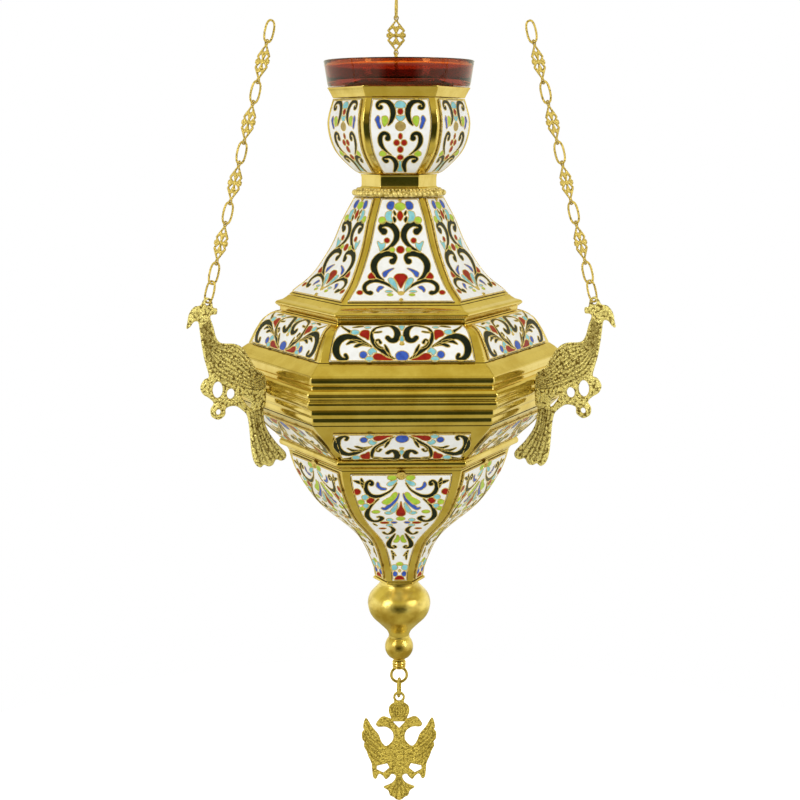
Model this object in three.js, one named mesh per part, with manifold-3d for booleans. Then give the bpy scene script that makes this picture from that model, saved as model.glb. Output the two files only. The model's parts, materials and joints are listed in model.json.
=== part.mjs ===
// Enamelled hanging vigil lamp: a six-sided brass body in stacked tiers, a glass oil cup on top,
// three cast peacock brackets with chains of pierced cross links, and an eagle pendant below.
//
// Millimetres, +Z up. One flat face of the body looks towards -Y. The origin is the suspension
// axis at the height where the chains end, so the lamp hangs below it.
// All tiers are six-sided. Their sizes are given across a corner, from the axis to the corner.

import * as THREE from 'three';
import { mergeVertices } from 'three/addons/utils/BufferGeometryUtils.js';
import Module from 'manifold-3d';

const wasm = await Module();
wasm.setup();

// Clearances and sheet
const seat = 0.3;             // gap between pieces that rest on each other
const sheet = 0.9;            // brass sheet of the tiers
const enamelBack = 1.2;       // plate that carries the enamel fields, inside the sheet

// Chains
const wire = 1.25;            // link wire, across
const ovalLength = 13.4;      // wire link, outside
const ovalWidth = 7.2;
const crossPitch = 22.0;      // cross plate, between its end eyes
const crossHalfWidth = 6.2;
const crossThick = 1.1;
const sideCrosses = 4;        // cross plates in each front chain
const rearCrosses = 5;
const chainLean = 15.5;       // degrees from upright, towards the axis

// Body, from the top down
const glassHeight = 14.9;     // glass above the collar
const glassRim = 44.0;        // radius
const glassShoulder = 41.5;
const glassWall = 2.4;
const glassDepth = 40;        // glass below the collar
const collarHeight = 6.2;
const collarTop = 42.0;
const collarFoot = 38.8;
const cupHeight = 43.1;
const cupBelly = 42.2;
const cupFoot = 23.5;
const neckHeight = 8.6;
const neckCorner = 22.3;
const ropeRadius = 27.9;
const ropeHeight = 3.8;
const bellHeight = 55.6;
const bellTop = 26.5;
const bellFoot = 63.3;
const corniceHeight = 12.1;
const corniceLip = 74.6;
const fasciaCorner = 71.6;
const domeHeight = 19.2;
const domeTop = 72.8;
const domeFoot = 90.9;
const bandHeight = 33.9;
const bandLedge = 100.0;
const bandBulge = 103.6;
const bandFoot = 97.7;
const friezeHeight = 23.6;
const friezeFoot = 72.2;
const trimHeight = 7.5;
const trimCorner = 73.5;
const coneHeight = 80.7;
const coneTop = 67.7;
const coneWaist = 17.4;       // where the ogee turns slender
const coneFoot = 15.2;
const rodRadius = 3.0;        // tie rod through all tiers

// Finial and pendant
const lipHeight = 2.2;
const vaseHeight = 37.6;
const vaseRadius = 19.0;
const ballRadius = 8.9;
const eyeCollar = 4.4;
const eyeCollarHeight = 5.2;
const eyeRing = 4.9;          // to the wire's middle
const eyeWire = 1.8;
const pendantWire = 1.6;
const pendantLength = 13.0;
const pendantWidth = 8.2;
const eagleLoop = 3.9;
const eagleHole = 2.2;
const eagleHalf = 23.9;       // reach of a wing tip
const eagleHeight = 70.3;     // from the loop's middle to the tail's tip
const eagleThick = 2.5;

// Peacock brackets
const birdPlate = 3.0;        // flat web of the casting
const birdBody = 6.0;         // across the raised wing and breast
const crestReach = 34.5;      // chain eye, outwards from the bracket's foot
const crestRise = 31.9;       // chain eye, above the top of the middle band
const crestHole = 1.5;

const FACES = 6;
const COS30 = Math.cos(Math.PI / 6);
const rad = THREE.MathUtils.degToRad;

// Materials
const metal = (name, color, roughness) =>
  Object.assign(new THREE.MeshStandardMaterial({ color, roughness, metalness: 1 }), { name });
const polished = metal('polished_brass', 0xd8b654, 0.16);
const satin = metal('satin_brass', 0xcfae52, 0.32);
const cast = metal('cast_brass', 0xc2a045, 0.42);
const chainBrass = metal('chain_brass', 0xcda63a, 0.3);
const enamel = new THREE.MeshStandardMaterial({ color: 0xeceae2, roughness: 0.18 });
enamel.name = 'white_enamel';
const rubyGlass = new THREE.MeshStandardMaterial({ color: 0x7c100c, roughness: 0.04 });
rubyGlass.name = 'ruby_glass';

// Solids
function closed(geometry) {
  geometry.deleteAttribute('normal');
  geometry.deleteAttribute('uv');
  const merged = mergeVertices(geometry, 1e-4);
  const p = merged.attributes.position, index = merged.index.array;
  const a = new THREE.Vector3(), b = new THREE.Vector3(), c = new THREE.Vector3();
  let volume = 0;
  for (let i = 0; i < index.length; i += 3) {
    a.fromBufferAttribute(p, index[i]);
    b.fromBufferAttribute(p, index[i + 1]);
    c.fromBufferAttribute(p, index[i + 2]);
    volume += a.dot(b.cross(c));
  }
  if (volume < 0) {
    for (let i = 0; i < index.length; i += 3) [index[i], index[i + 1]] = [index[i + 1], index[i]];
  }
  return merged;
}

function solid(geometry) {
  const g = closed(geometry);
  return new wasm.Manifold(new wasm.Mesh({
    numProp: 3,
    vertProperties: new Float32Array(g.attributes.position.array),
    triVerts: new Uint32Array(g.index.array),
  }));
}

function geometryOf(manifold) {
  const mesh = manifold.getMesh();
  const geometry = new THREE.BufferGeometry();
  geometry.setAttribute('position', new THREE.BufferAttribute(mesh.vertProperties, 3));
  geometry.setIndex(new THREE.BufferAttribute(mesh.triVerts, 1));
  return geometry;
}

const joined = (...geometries) => geometryOf(geometries.map(solid).reduce((a, b) => a.add(b)));
const cut = (body, ...tools) => geometryOf(tools.map(solid).reduce((a, b) => a.subtract(b), solid(body)));

function node(parent, name, geometry, material) {
  const mesh = new THREE.Mesh(closed(geometry), material);
  mesh.name = name;
  parent.add(mesh);
  return mesh;
}

// A section of [radius, height] pairs turned about Z; six sides give corners on the X axis.
function turned(section, sides) {
  const points = section.map(([r, z]) => new THREE.Vector2(r, z));
  return new THREE.LatheGeometry(points, sides, Math.PI / FACES).rotateX(Math.PI / 2);
}
const hex = (section) => turned(section, FACES);
const ringSection = (outer, inner) => [...outer, ...[...inner].reverse(), outer[0]];

// A smooth profile through a few given [radius, height] pairs
function profile(points, steps) {
  const curve = new THREE.SplineCurve(points.map(([r, z]) => new THREE.Vector2(r, z)));
  return curve.getSpacedPoints(steps).map((p) => [p.x, p.y]);
}

// The same profile, this far inside it, with the heights kept so that its ends stay level.
function inside(section, depth) {
  return section.map(([r, z], i) => {
    const before = section[Math.max(i - 1, 0)], after = section[Math.min(i + 1, section.length - 1)];
    const run = (after[0] - before[0]) * COS30, rise = after[1] - before[1];
    const facing = Math.max(Math.abs(rise) / Math.hypot(run, rise), 0.35);
    return [r - depth / facing / COS30, z];
  });
}

// Corner radius of a profile at a height
function cornerAt(section, z) {
  for (let i = 1; i < section.length; i++) {
    const [r0, z0] = section[i - 1], [r1, z1] = section[i];
    if ((z - z0) * (z - z1) <= 0 && z0 !== z1) return r0 + (r1 - r0) * (z - z0) / (z1 - z0);
  }
  throw new Error('height outside the profile');
}

// Cutters through the six faces: panels that leave a brass margin along each ridge,
// which changes evenly from its width at the panel's foot to that at its head
function windows(section, { foot, head, margin: [low, high] }) {
  const between = section.map(([, z]) => z).filter((z) => z > foot + 0.2 && z < head - 0.2);
  const levels = [foot, ...between, head].sort((a, b) => a - b);
  const side = levels.map((z) => new THREE.Vector2(
    cornerAt(section, z) / 2 - low - (high - low) * (z - foot) / (head - foot), z));
  const shape = new THREE.Shape([...side, ...[...side].reverse().map((p) => new THREE.Vector2(-p.x, p.y))]);
  const reach = Math.max(...section.map(([r]) => r)) + 5;
  const one = new THREE.ExtrudeGeometry(shape, { depth: reach, bevelEnabled: false }).rotateX(Math.PI / 2);
  return Array.from({ length: FACES }, (_, k) => one.clone().rotateZ(k * Math.PI / 3));
}

// One tier: a pierced brass frame, and the enamelled plate that lines it and fills its six panels.
function tier(parent, name, section, panel) {
  const shell = solid(hex(ringSection(section, inside(section, sheet))));
  const frame = windows(section, panel).reduce((body, opening) => body.subtract(solid(opening)), shell);
  node(parent, `${name}_frame`, geometryOf(frame), polished);
  node(parent, `${name}_enamel`,
    hex(ringSection(inside(section, sheet + seat), inside(section, sheet + seat + enamelBack))), enamel);
}

// A round wire bent along a closed flat loop in the XY plane
function wireLoop(pointAt, wireAcross, steps, sides) {
  const curve = new THREE.CatmullRomCurve3(
    Array.from({ length: steps }, (_, i) => pointAt(2 * Math.PI * i / steps)), true);
  const positions = [], index = [], up = new THREE.Vector3(0, 0, 1);
  for (let i = 0; i < steps; i++) {
    const centre = curve.getPoint(i / steps);
    const out = curve.getTangent(i / steps).cross(up).normalize();
    for (let j = 0; j < sides; j++) {
      const a = 2 * Math.PI * (j + 0.5) / sides, r = wireAcross / 2;
      const p = centre.clone().addScaledVector(out, r * Math.cos(a)).addScaledVector(up, r * Math.sin(a));
      positions.push(p.x, p.y, p.z);
      const k = i * sides + j, n = i * sides + (j + 1) % sides;
      const kk = (k + sides) % (steps * sides), nn = (n + sides) % (steps * sides);
      index.push(k, kk, nn, k, nn, n);
    }
  }
  const geometry = new THREE.BufferGeometry();
  geometry.setAttribute('position', new THREE.Float32BufferAttribute(positions, 3));
  geometry.setIndex(index);
  return geometry;
}

// An oval wire link standing along Y in the XY plane, with its middle at the origin
function ovalLink(length, width, wireAcross, steps) {
  const a = (width - wireAcross) / 2, b = (length - wireAcross) / 2;
  const bent = (v) => Math.sign(v) * Math.abs(v) ** 0.8;
  return wireLoop((t) => new THREE.Vector3(a * bent(Math.cos(t)), b * bent(Math.sin(t)), 0),
    wireAcross, steps, 5);
}

// A flat casting from an outline and holes, centred on the XY plane
function plate(outline, holes, thick, bevel = 0) {
  const shape = new THREE.Shape(outline.map(([x, y]) => new THREE.Vector2(x, y)));
  shape.holes = holes.map((h) => new THREE.Path(h.map(([x, y]) => new THREE.Vector2(x, y))));
  const depth = thick - 2 * bevel;
  return new THREE.ExtrudeGeometry(shape, {
    depth, bevelEnabled: bevel > 0, bevelThickness: bevel, bevelSize: bevel, bevelOffset: -bevel,
    bevelSegments: 1,
  }).translate(0, 0, -depth / 2);
}
// A hole whose flats clear these radii
const circle = (x, y, rx, ry, n) => Array.from({ length: n }, (_, i) => {
  const a = 2 * Math.PI * (i + 0.5) / n, grow = 1 / Math.cos(Math.PI / n);
  return [x + rx * grow * Math.cos(a), y + ry * grow * Math.sin(a)];
});
const smooth = (points, steps) => new THREE.CatmullRomCurve3(
  points.map(([x, y]) => new THREE.Vector3(x, y, 0)), true, 'catmullrom', 0.4)
  .getSpacedPoints(steps).slice(0, steps).map((p) => [p.x, p.y]);

// Heights of the body, from the top of the middle band
const at = { dome: seat, band: 0 };
at.cornice = at.dome + domeHeight + seat;
at.bell = at.cornice + corniceHeight + seat;
at.rope = at.bell + bellHeight + seat;
at.neck = at.rope + ropeHeight + seat;
at.cup = at.neck + neckHeight + seat;
at.collar = at.cup + cupHeight + seat;
at.glass = at.collar + collarHeight + seat;
at.frieze = -bandHeight - seat;
at.trim = at.frieze - friezeHeight - seat;
at.cone = at.trim - trimHeight - seat;
at.finial = at.cone - coneHeight - seat;

// Chain run, from the crest eye of a bracket to the last link
const ovalPitch = ovalLength - wire;
const interlock = wire + seat;
const sideStart = ovalPitch - interlock;
const chainRun = sideStart + ovalPitch + sideCrosses * (crossPitch + ovalPitch) + wire / 2;
const footReach = bandBulge * COS30 + seat;

const lamp = new THREE.Group();
lamp.position.z = -(crestRise + chainRun * Math.cos(rad(chainLean)));
const model = new THREE.Group();
model.add(lamp);

// Glass cup: a flared rim that rests on the collar, and a bowl that goes down inside the hexagonal cup
const bowl = collarFoot * COS30 - sheet - 2 * seat - enamelBack - 1.6;
const g0 = at.glass;
node(lamp, 'glass_cup', turned([
  [0, g0 - glassDepth], [bowl * 0.62, g0 - glassDepth], [bowl * 0.86, g0 - glassDepth + 5],
  [bowl, g0 - 12], [bowl, g0], [glassShoulder, g0], [glassShoulder + 0.5, g0 + 3],
  [glassRim, g0 + glassHeight], [glassRim - glassWall, g0 + glassHeight],
  [glassShoulder - glassWall, g0 + 4], [bowl - glassWall + 0.4, g0 - 1],
  [bowl - glassWall, g0 - 12], [bowl * 0.86 - glassWall, g0 - glassDepth + 7],
  [bowl * 0.5, g0 - glassDepth + 3.4], [0, g0 - glassDepth + 3],
], 24), rubyGlass);

// Collar
const z1 = at.collar;
const collarOut = [[collarFoot, z1], [collarFoot + 0.6, z1 + 1.2], [collarFoot + 0.9, z1 + 2.6],
  [collarTop - 0.6, z1 + 4.2], [collarTop, z1 + 5.2], [collarTop, z1 + collarHeight]];
const collarBore = (bowl + 0.6) / COS30;
node(lamp, 'cup_collar', hex(ringSection(collarOut, [[collarBore, z1], [collarBore, z1 + collarHeight]])),
  polished);

// Hexagonal cup
const z2 = at.cup;
const cupSection = profile([[cupFoot, z2], [cupFoot + 6.1, z2 + 4.2], [cupBelly - 3.6, z2 + 14.5],
  [cupBelly, z2 + 28.9], [collarFoot, z2 + cupHeight]], 6);
tier(lamp, 'cup', cupSection, { foot: z2 + 1.6, head: z2 + cupHeight - 1.4, margin: [4.1, 4.2] });

// Neck, rope ring
const z3 = at.neck;
const boreFlat = (rodRadius + seat) / COS30;
const boreLow = (z) => [boreFlat, z];
node(lamp, 'neck', hex(ringSection([[neckCorner + 1.4, z3], [neckCorner, z3 + 1.3],
  [neckCorner, z3 + neckHeight - 2], [neckCorner + 0.6, z3 + neckHeight]],
[boreLow(z3), boreLow(z3 + neckHeight)])), polished);
const z4 = at.rope, rb = ropeHeight / 2;
node(lamp, 'rope_ring', turned(ringSection(
  [[ropeRadius - rb, z4], [ropeRadius - 0.4, z4 + rb * 0.45], [ropeRadius, z4 + rb],
    [ropeRadius - 0.4, z4 + rb * 1.55], [ropeRadius - rb, z4 + ropeHeight]],
  [[boreFlat, z4], [boreFlat, z4 + ropeHeight]]), 24), satin);

// Bell
const z5 = at.bell;
const bellSection = profile([[bellFoot, z5], [bellFoot - 10.8, z5 + 9.1], [bellTop + 14.1, z5 + 26.7],
  [bellTop + 7.4, z5 + 42], [bellTop, z5 + bellHeight]], 5);
tier(lamp, 'bell', bellSection, { foot: z5 + 1.4, head: z5 + bellHeight - 1.2, margin: [4.4, 3.2] });

// Cornice with its overhanging lip
const z6 = at.cornice;
node(lamp, 'cornice', hex(ringSection(
  [[fasciaCorner, z6], [fasciaCorner + 0.3, z6 + 3.2], [corniceLip - 0.9, z6 + 3.7],
    [corniceLip, z6 + 4.8], [corniceLip - 0.3, z6 + 6.3], [fasciaCorner - 1.6, z6 + 7.1],
    [bellFoot + 0.8, z6 + corniceHeight]],
  [[fasciaCorner - 9, z6], [fasciaCorner - 9, z6 + 3], [bellFoot - 3, z6 + corniceHeight]])), polished);

// Dome tier
const z7 = at.dome;
const domeSection = profile([[domeFoot, z7], [domeFoot - 1.8, z7 + 3.6], [domeFoot - 4.7, z7 + 9],
  [domeFoot - 9.8, z7 + 15.7], [domeTop, z7 + domeHeight]], 4);
tier(lamp, 'dome', domeSection, { foot: z7 + 1, head: z7 + domeHeight - 1, margin: [5.6, 4.0] });

// Middle band
const b = -bandHeight;
node(lamp, 'mid_band', hex(ringSection(
  [[bandFoot, b], [bandFoot + 1.6, b + 2.4], [bandLedge - 1, b + 5.4], [bandLedge, b + 8.6],
    [bandBulge - 1.6, b + 10], [bandBulge, b + 12.4], [bandBulge - 1.2, b + 14.8], [bandBulge, b + 17],
    [bandBulge - 0.2, b + 18.6], [bandLedge - 0.8, b + 20], [bandLedge - 0.6, b + 22.4],
    [bandLedge + 0.5, b + 24.6], [bandLedge, b + 27], [bandLedge - 2, b + 28.4], [domeFoot + 0.4, 0]],
  [[bandFoot - 7, b], [bandFoot - 7, b + 24], [domeFoot - 7, 0]])), polished);

// Lower frieze, sloping inwards
const z8 = at.frieze;
const friezeSection = [[bandFoot, z8], [(bandFoot + friezeFoot) / 2, z8 - friezeHeight / 2],
  [friezeFoot, z8 - friezeHeight]];
tier(lamp, 'frieze', friezeSection, { foot: z8 - friezeHeight + 1.2, head: z8 - 1.2, margin: [3.2, 8.4] });

// Trim moulding
const z9 = at.trim;
node(lamp, 'lower_trim', hex(ringSection(
  [[coneTop + 0.2, z9 - trimHeight], [coneTop + 1, z9 - trimHeight + 1.4], [trimCorner - 1.2, z9 - 4.4],
    [trimCorner, z9 - 3], [trimCorner - 0.3, z9 - 1], [friezeFoot, z9]],
  [[coneTop - 6, z9 - trimHeight], [friezeFoot - 6, z9]])), polished);

// Ogee cone
const z10 = at.cone;
const coneSection = profile([[coneTop, z10], [coneTop - 4.4, z10 - 13], [coneTop - 17.1, z10 - 32],
  [coneWaist + 10, z10 - coneHeight + 28.4], [coneWaist, z10 - coneHeight + 9.6],
  [coneFoot, z10 - coneHeight]], 7);
tier(lamp, 'cone', coneSection, { foot: z10 - coneHeight + 1.6, head: z10 - 2, margin: [3.8, 3.8] });

// Finial: six-sided lip, vase and ball
const z11 = at.finial, v = z11 - lipHeight, ball = v - vaseHeight - ballRadius + 2.4;
const vase = profile([[12.7, v - 3.4], [vaseRadius - 0.6, v - 10.6], [vaseRadius - 0.6, v - 17.4],
  [10.6, v - vaseHeight + 7.5], [6.2, v - vaseHeight + 1.1]], 7);
const sphere = Array.from({ length: 6 }, (_, i) => {
  const a = rad(42 - 22 * i);
  return [ballRadius * Math.cos(a), ball + ballRadius * Math.sin(a)];
});
const stem = sphere.filter(([, z]) => z < v - vaseHeight + 0.6);
const ballFoot = stem.at(-1)[1] - 0.6;
const socket = (rodRadius + seat) / COS30;
node(lamp, 'finial', cut(joined(
  turned([[0, z11 - 1], [11.6, z11 - 1], [11.4, v - 1.2], ...vase, ...stem,
    [3.6, ballFoot], [0, ballFoot]], 18),
  hex([[0, z11], [coneFoot + 0.6, z11], [coneFoot + 1.2, z11 - lipHeight * 0.6],
    [coneFoot - 1.6, v - 1], [0, v - 1]])),
turned([[0, z11 + 1], [socket, z11 + 1], [socket, z11 - 20], [0, z11 - 20]], 12)), polished);

// Eye that the pendant hangs on: a turned collar and a ring across the front
const eyeTop = ballFoot - seat;
const ringMiddle = eyeTop - eyeCollarHeight - eyeRing + 0.2;
node(lamp, 'finial_eye', joined(
  turned([[0, eyeTop], [eyeCollar - 0.5, eyeTop], [eyeCollar, eyeTop - 0.8],
    [eyeCollar - 0.6, eyeTop - 2.1], [eyeCollar, eyeTop - 3.4], [eyeCollar - 0.6, eyeTop - eyeCollarHeight],
    [0, eyeTop - eyeCollarHeight]], 12),
  wireLoop((t) => new THREE.Vector3(eyeRing * Math.cos(t), eyeRing * Math.sin(t), 0), eyeWire, 12, 6)
    .rotateX(Math.PI / 2).translate(0, 0, ringMiddle)), polished);

// Tie rod: it holds all tiers together, from its nut on the cup floor to the finial
const rodFoot = z11 - 18;
const floorTop = z3 + neckHeight;
node(lamp, 'tie_rod', joined(
  turned([[0, rodFoot], [rodRadius, rodFoot], [rodRadius, floorTop + 6], [0, floorTop + 6]], 12),
  turned([[0, floorTop + seat], [7, floorTop + seat], [7, floorTop + 5], [0, floorTop + 5]], 6)), satin);

// Pendant link and double-headed eagle
const linkTop = ringMiddle - eyeRing + eyeWire / 2 + seat + pendantWire / 2;
const pendantPivot = ringMiddle - eyeRing;
const linkMiddle = linkTop - (pendantLength - pendantWire) / 2;
node(lamp, 'pendant_link', ovalLink(pendantLength, pendantWidth, pendantWire, 14)
  .rotateX(Math.PI / 2).rotateZ(Math.PI / 2).translate(0, 0, linkMiddle), cast);

const loopMiddle = linkTop - (pendantLength - pendantWire) + pendantWire / 2 + 2 * seat - eagleHole;
// Eagle outline points, as shares of its half width and height in thousandths
const drawn = (points) => points.map(([x, y]) => [x * eagleHalf / 1000, y * eagleHeight / 1000]);
const halfEagle = drawn([
  [138, -53], [248, -80], [280, -133], [225, -190], [216, -207], [353, -187], [468, -188],
  [564, -223], [619, -258], [555, -283], [362, -283], [216, -313], [156, -360], [179, -423],
  [349, -473], [477, -423], [546, -357], [702, -290], [817, -223], [885, -197], [940, -233],
  [963, -287], [936, -310], [1000, -343], [982, -403], [927, -427], [945, -467], [872, -517],
  [826, -567], [743, -633], [725, -700], [697, -770], [615, -787], [541, -740], [440, -757],
  [358, -793], [257, -767], [202, -740], [101, -753], [101, -790], [179, -827], [303, -850],
  [422, -870], [294, -903], [248, -950], [156, -967], [83, -990],
]);
const loopArc = Array.from({ length: 7 }, (_, i) => {
  const a = rad(-35 + 250 * i / 6);
  return [eagleLoop * Math.cos(a), eagleLoop * Math.sin(a)];
});
const mirrored = (points) => points.map(([x, y]) => [-x, y]).reverse();
const eagleOutline = [...loopArc, ...mirrored(halfEagle).reverse(), [0, -eagleHeight],
  ...[...halfEagle].reverse()];
const legHole = drawn([[317, -637], [592, -660], [601, -697], [422, -730], [257, -683]]);
const breast = smooth(drawn([[0, -333], [147, -383], [395, -500], [312, -617], [0, -733],
  [-312, -617], [-395, -500], [-147, -383]]), 16);
node(lamp, 'pendant_eagle', joined(
  plate(eagleOutline, [circle(0, 0, eagleHole, eagleHole, 8),
    drawn([[-170, -233], [170, -233], [0, -297]]), legHole, mirrored(legHole)], eagleThick),
  plate(breast, [], eagleThick + 1.2))
  .rotateX(Math.PI / 2).translate(0, 0, loopMiddle), cast);

// Peacock bracket in its own plane: x outwards from the foot, y up from the top of the band. Its
// points are drawn for an eye at the drawing's crest, and the whole bird stretches with the real one.
const crest = [crestReach, crestRise];
const drawingCrest = [34.5, 31.9];
const perched = (points) => points.map(([x, y]) =>
  [x * crest[0] / drawingCrest[0], y * crest[1] / drawingCrest[1]]);
const birdOutline = perched([
  [0, -12.8], [5.5, -7.8], [9.4, -1.5], [13.6, 4.6], [18.3, 7.5], [26.6, 8.6], [29.8, 11.9], [31.5, 18.4],
  [33.2, 23.6], [31.8, 25.0], [29.3, 25.2], [29.0, 28.3], [31.2, 29.0], [32.1, 33.1], [34.5, 34.8],
  [36.9, 33.1], [38.6, 30.6], [42.2, 30.0], [45.4, 26.3], [46.6, 21.5], [47.3, 18.2], [45.2, 19.2],
  [43.0, 21.7], [40.1, 21.3], [39.3, 15.7], [38.6, 9.6], [37.2, 1.0], [35.5, -5.3], [34.6, -10.1],
  [37.5, -11.4], [39.9, -15.4], [38.4, -19.6], [34.7, -22.2], [32.1, -25.3], [34.0, -28.5], [33.5, -32.8],
  [29.6, -34.9], [25.6, -32.6], [24.8, -28.7], [18.9, -28.1], [13.4, -32.1], [11.4, -35.3],
  [10.3, -42.4], [9.3, -55.6], [7.5, -62.7], [4.4, -65.8], [1.7, -64.5], [-0.8, -65.8], [-3.8, -65.3],
  [-6.0, -62.3], [-9.1, -63.4], [-12.1, -62.3], [-12.1, -58.6], [-5.5, -51.1], [0.2, -41.7], [1.6, -31.7],
  [0, -28.5],
]);
const birdHoles = [
  ...[circle(29.6, -17.7, 3.1, 4.4, 10), circle(21.7, -20.7, 2.4, 2.8, 8),
    [[15.1, -22.6], [9.7, -26.0], [9.4, -30.2], [12.2, -27.9]],
    circle(29.5, -30.5, 1.5, 1.5, 6)].map(perched),
  circle(crest[0], crest[1], crestHole, crestHole, 8),
];
const wing = smooth(perched([[37.2, 14.6], [36.4, -1.1], [31.7, -10.1], [17.6, -16.9], [7.7, -20.0],
  [6.0, -28.5], [1.8, -28.5], [1.7, -13.7], [8.6, -6.3], [17.1, 4.8], [28.1, 5.2], [32.1, 11.1],
  [34.7, 21.9]]), 22);
const fan = smooth(perched([[6.9, -33.8], [7.5, -48.8], [6.2, -60.6], [-1.6, -61.2], [-8.3, -59.1],
  [-2.2, -48.8], [3.2, -36.0]]), 12);
for (const [side, azimuth] of [['left', 210], ['right', 330], ['rear', 90]]) {
  const arm = new THREE.Group();
  arm.rotation.z = rad(azimuth);
  lamp.add(arm);
  const bird = joined(plate(birdOutline, birdHoles, birdPlate), plate(wing, [], birdBody, 1.0),
    plate(fan, [], birdPlate + 1.6, 0.8));
  node(arm, `peacock_${side}`, bird.rotateX(Math.PI / 2).translate(footReach, 0, 0), cast);
}

// Pierced cross plate, along Y in the XY plane, with an eye at each end
const eyeAt = crossPitch / 2, eyeHole = wire / 2 + seat, eyeOuter = eyeHole + 0.8;
const w = crossHalfWidth;
const quarter = [[1.0, eyeAt - 2.0], [w - 1.8, 4.9], [w - 0.4, 3.1], [w - 1.5, 1.7], [w, 0.9]];
const eyeArc = Array.from({ length: 4 }, (_, i) => {
  const a = rad(0 + 180 * i / 3);
  return [eyeOuter * Math.cos(a), eyeAt + eyeOuter * Math.sin(a)];
});
const upper = [...[...quarter].reverse(), ...eyeArc, ...quarter.map(([x, y]) => [-x, y])];
const crossOutline = [...upper, ...upper.map(([x, y]) => [-x, -y])];
const petal = [[0.8, 0.8], [1.0, 3.8], [w - 2.0, 3.2], [w - 2.9, 1.4]];
const kite = [[0, eyeAt - 2.3], [1.6, eyeAt - 4.8], [0, eyeAt - 5.5], [-1.6, eyeAt - 4.8]];
const turnedHoles = (h, ...signs) => signs.map(([sx, sy]) => h.map(([x, y]) => [sx * x, sy * y]));
const crossHoles = [...turnedHoles(petal, [1, 1], [-1, 1], [1, -1], [-1, -1]),
  ...turnedHoles(kite, [1, 1], [1, -1]), circle(0, eyeAt, eyeHole, eyeHole, 6),
  circle(0, -eyeAt, eyeHole, eyeHole, 6)];
const crossPlate = plate(crossOutline, crossHoles, crossThick).rotateX(Math.PI / 2);
const wireLink = ovalLink(ovalLength, ovalWidth, wire, 8).rotateX(Math.PI / 2);

// Chains: each rises from a crest eye and leans in. In a chain's group Z runs along the chain,
// X is sideways and Y points at the suspension axis.
for (const [side, azimuth] of [['left', 210], ['right', 330], ['rear', 90]]) {
  const arm = new THREE.Group();
  arm.rotation.z = rad(azimuth + 90);
  const run = new THREE.Group();
  run.position.set(0, -(footReach + crest[0]), crest[1]);
  run.rotation.x = -rad(chainLean);
  arm.add(run);
  lamp.add(arm);
  const rear = side === 'rear';
  const link = (name, geometry, z, turn) => {
    const mesh = node(run, name, geometry.clone(), chainBrass);
    mesh.position.z = z;
    mesh.rotation.z = rad(turn);
  };
  // The rear chain has one wire link less, so it takes a quarter turn of twist along its links.
  const step = rear ? 90 - 90 / (2 * rearCrosses - 1) : 90;
  let z = ovalPitch / 2;
  let count = 1;
  let turn = 0;
  if (!rear) {
    link(`chain_${side}_oval_0`, wireLink, z, 0);
    z += ovalPitch - interlock;
    turn = 90;
  }
  link(`chain_${side}_oval_${count}`, wireLink, z, turn);
  z += ovalPitch / 2;
  for (let i = 1; i <= (rear ? rearCrosses : sideCrosses); i++) {
    link(`chain_${side}_cross_${i}`, crossPlate, z + crossPitch / 2, turn += step);
    z += crossPitch;
    count += 1;
    link(`chain_${side}_oval_${count}`, wireLink, z + ovalPitch / 2, turn += step);
    z += ovalPitch;
  }
}

export default model;
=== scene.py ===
import json
import math

import bpy
import numpy as np
from mathutils import Matrix, Vector
from mathutils.geometry import delaunay_2d_cdt, tessellate_polygon


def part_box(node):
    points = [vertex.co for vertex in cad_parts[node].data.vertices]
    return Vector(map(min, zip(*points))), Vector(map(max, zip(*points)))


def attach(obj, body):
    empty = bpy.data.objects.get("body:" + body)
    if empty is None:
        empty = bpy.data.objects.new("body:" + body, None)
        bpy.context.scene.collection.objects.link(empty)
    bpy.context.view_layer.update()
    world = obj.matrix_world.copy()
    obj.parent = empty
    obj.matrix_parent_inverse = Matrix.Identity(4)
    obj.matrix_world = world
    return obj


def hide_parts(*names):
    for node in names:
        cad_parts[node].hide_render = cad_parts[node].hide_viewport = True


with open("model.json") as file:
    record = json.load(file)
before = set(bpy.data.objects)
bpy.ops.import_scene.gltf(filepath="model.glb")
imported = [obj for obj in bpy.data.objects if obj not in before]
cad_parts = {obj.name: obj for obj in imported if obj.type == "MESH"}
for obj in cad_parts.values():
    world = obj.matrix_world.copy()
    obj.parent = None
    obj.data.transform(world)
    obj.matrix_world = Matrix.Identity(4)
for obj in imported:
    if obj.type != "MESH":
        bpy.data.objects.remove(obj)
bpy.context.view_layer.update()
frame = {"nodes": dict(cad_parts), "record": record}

# Shapes are in millimetres from the top of the middle band, on the lamp's axis. AT is where each piece
# starts: the foot of the band and of the pieces above it, and the top of the pieces below it.
MM = 0.001
SEAT = 0.3
C30 = math.cos(math.pi / 6)
AT = {"glass": 151.0, "collar": 144.5, "cup": 101.1, "neck": 92.2, "rope": 88.1, "bell": 32.2,
      "cornice": 19.8, "dome": 0.3, "band": -33.9, "frieze": -34.2, "trim": -58.1, "cone": -65.9,
      "finial": -146.9}
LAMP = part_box("cornice")[1].z / MM - AT["bell"] + SEAT
BODY = {n: b for b, ns in frame["record"]["behaviour"]["bodies"].items() for n in ns}
SIDES = {"left": 210, "right": 330, "rear": 90}


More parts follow.
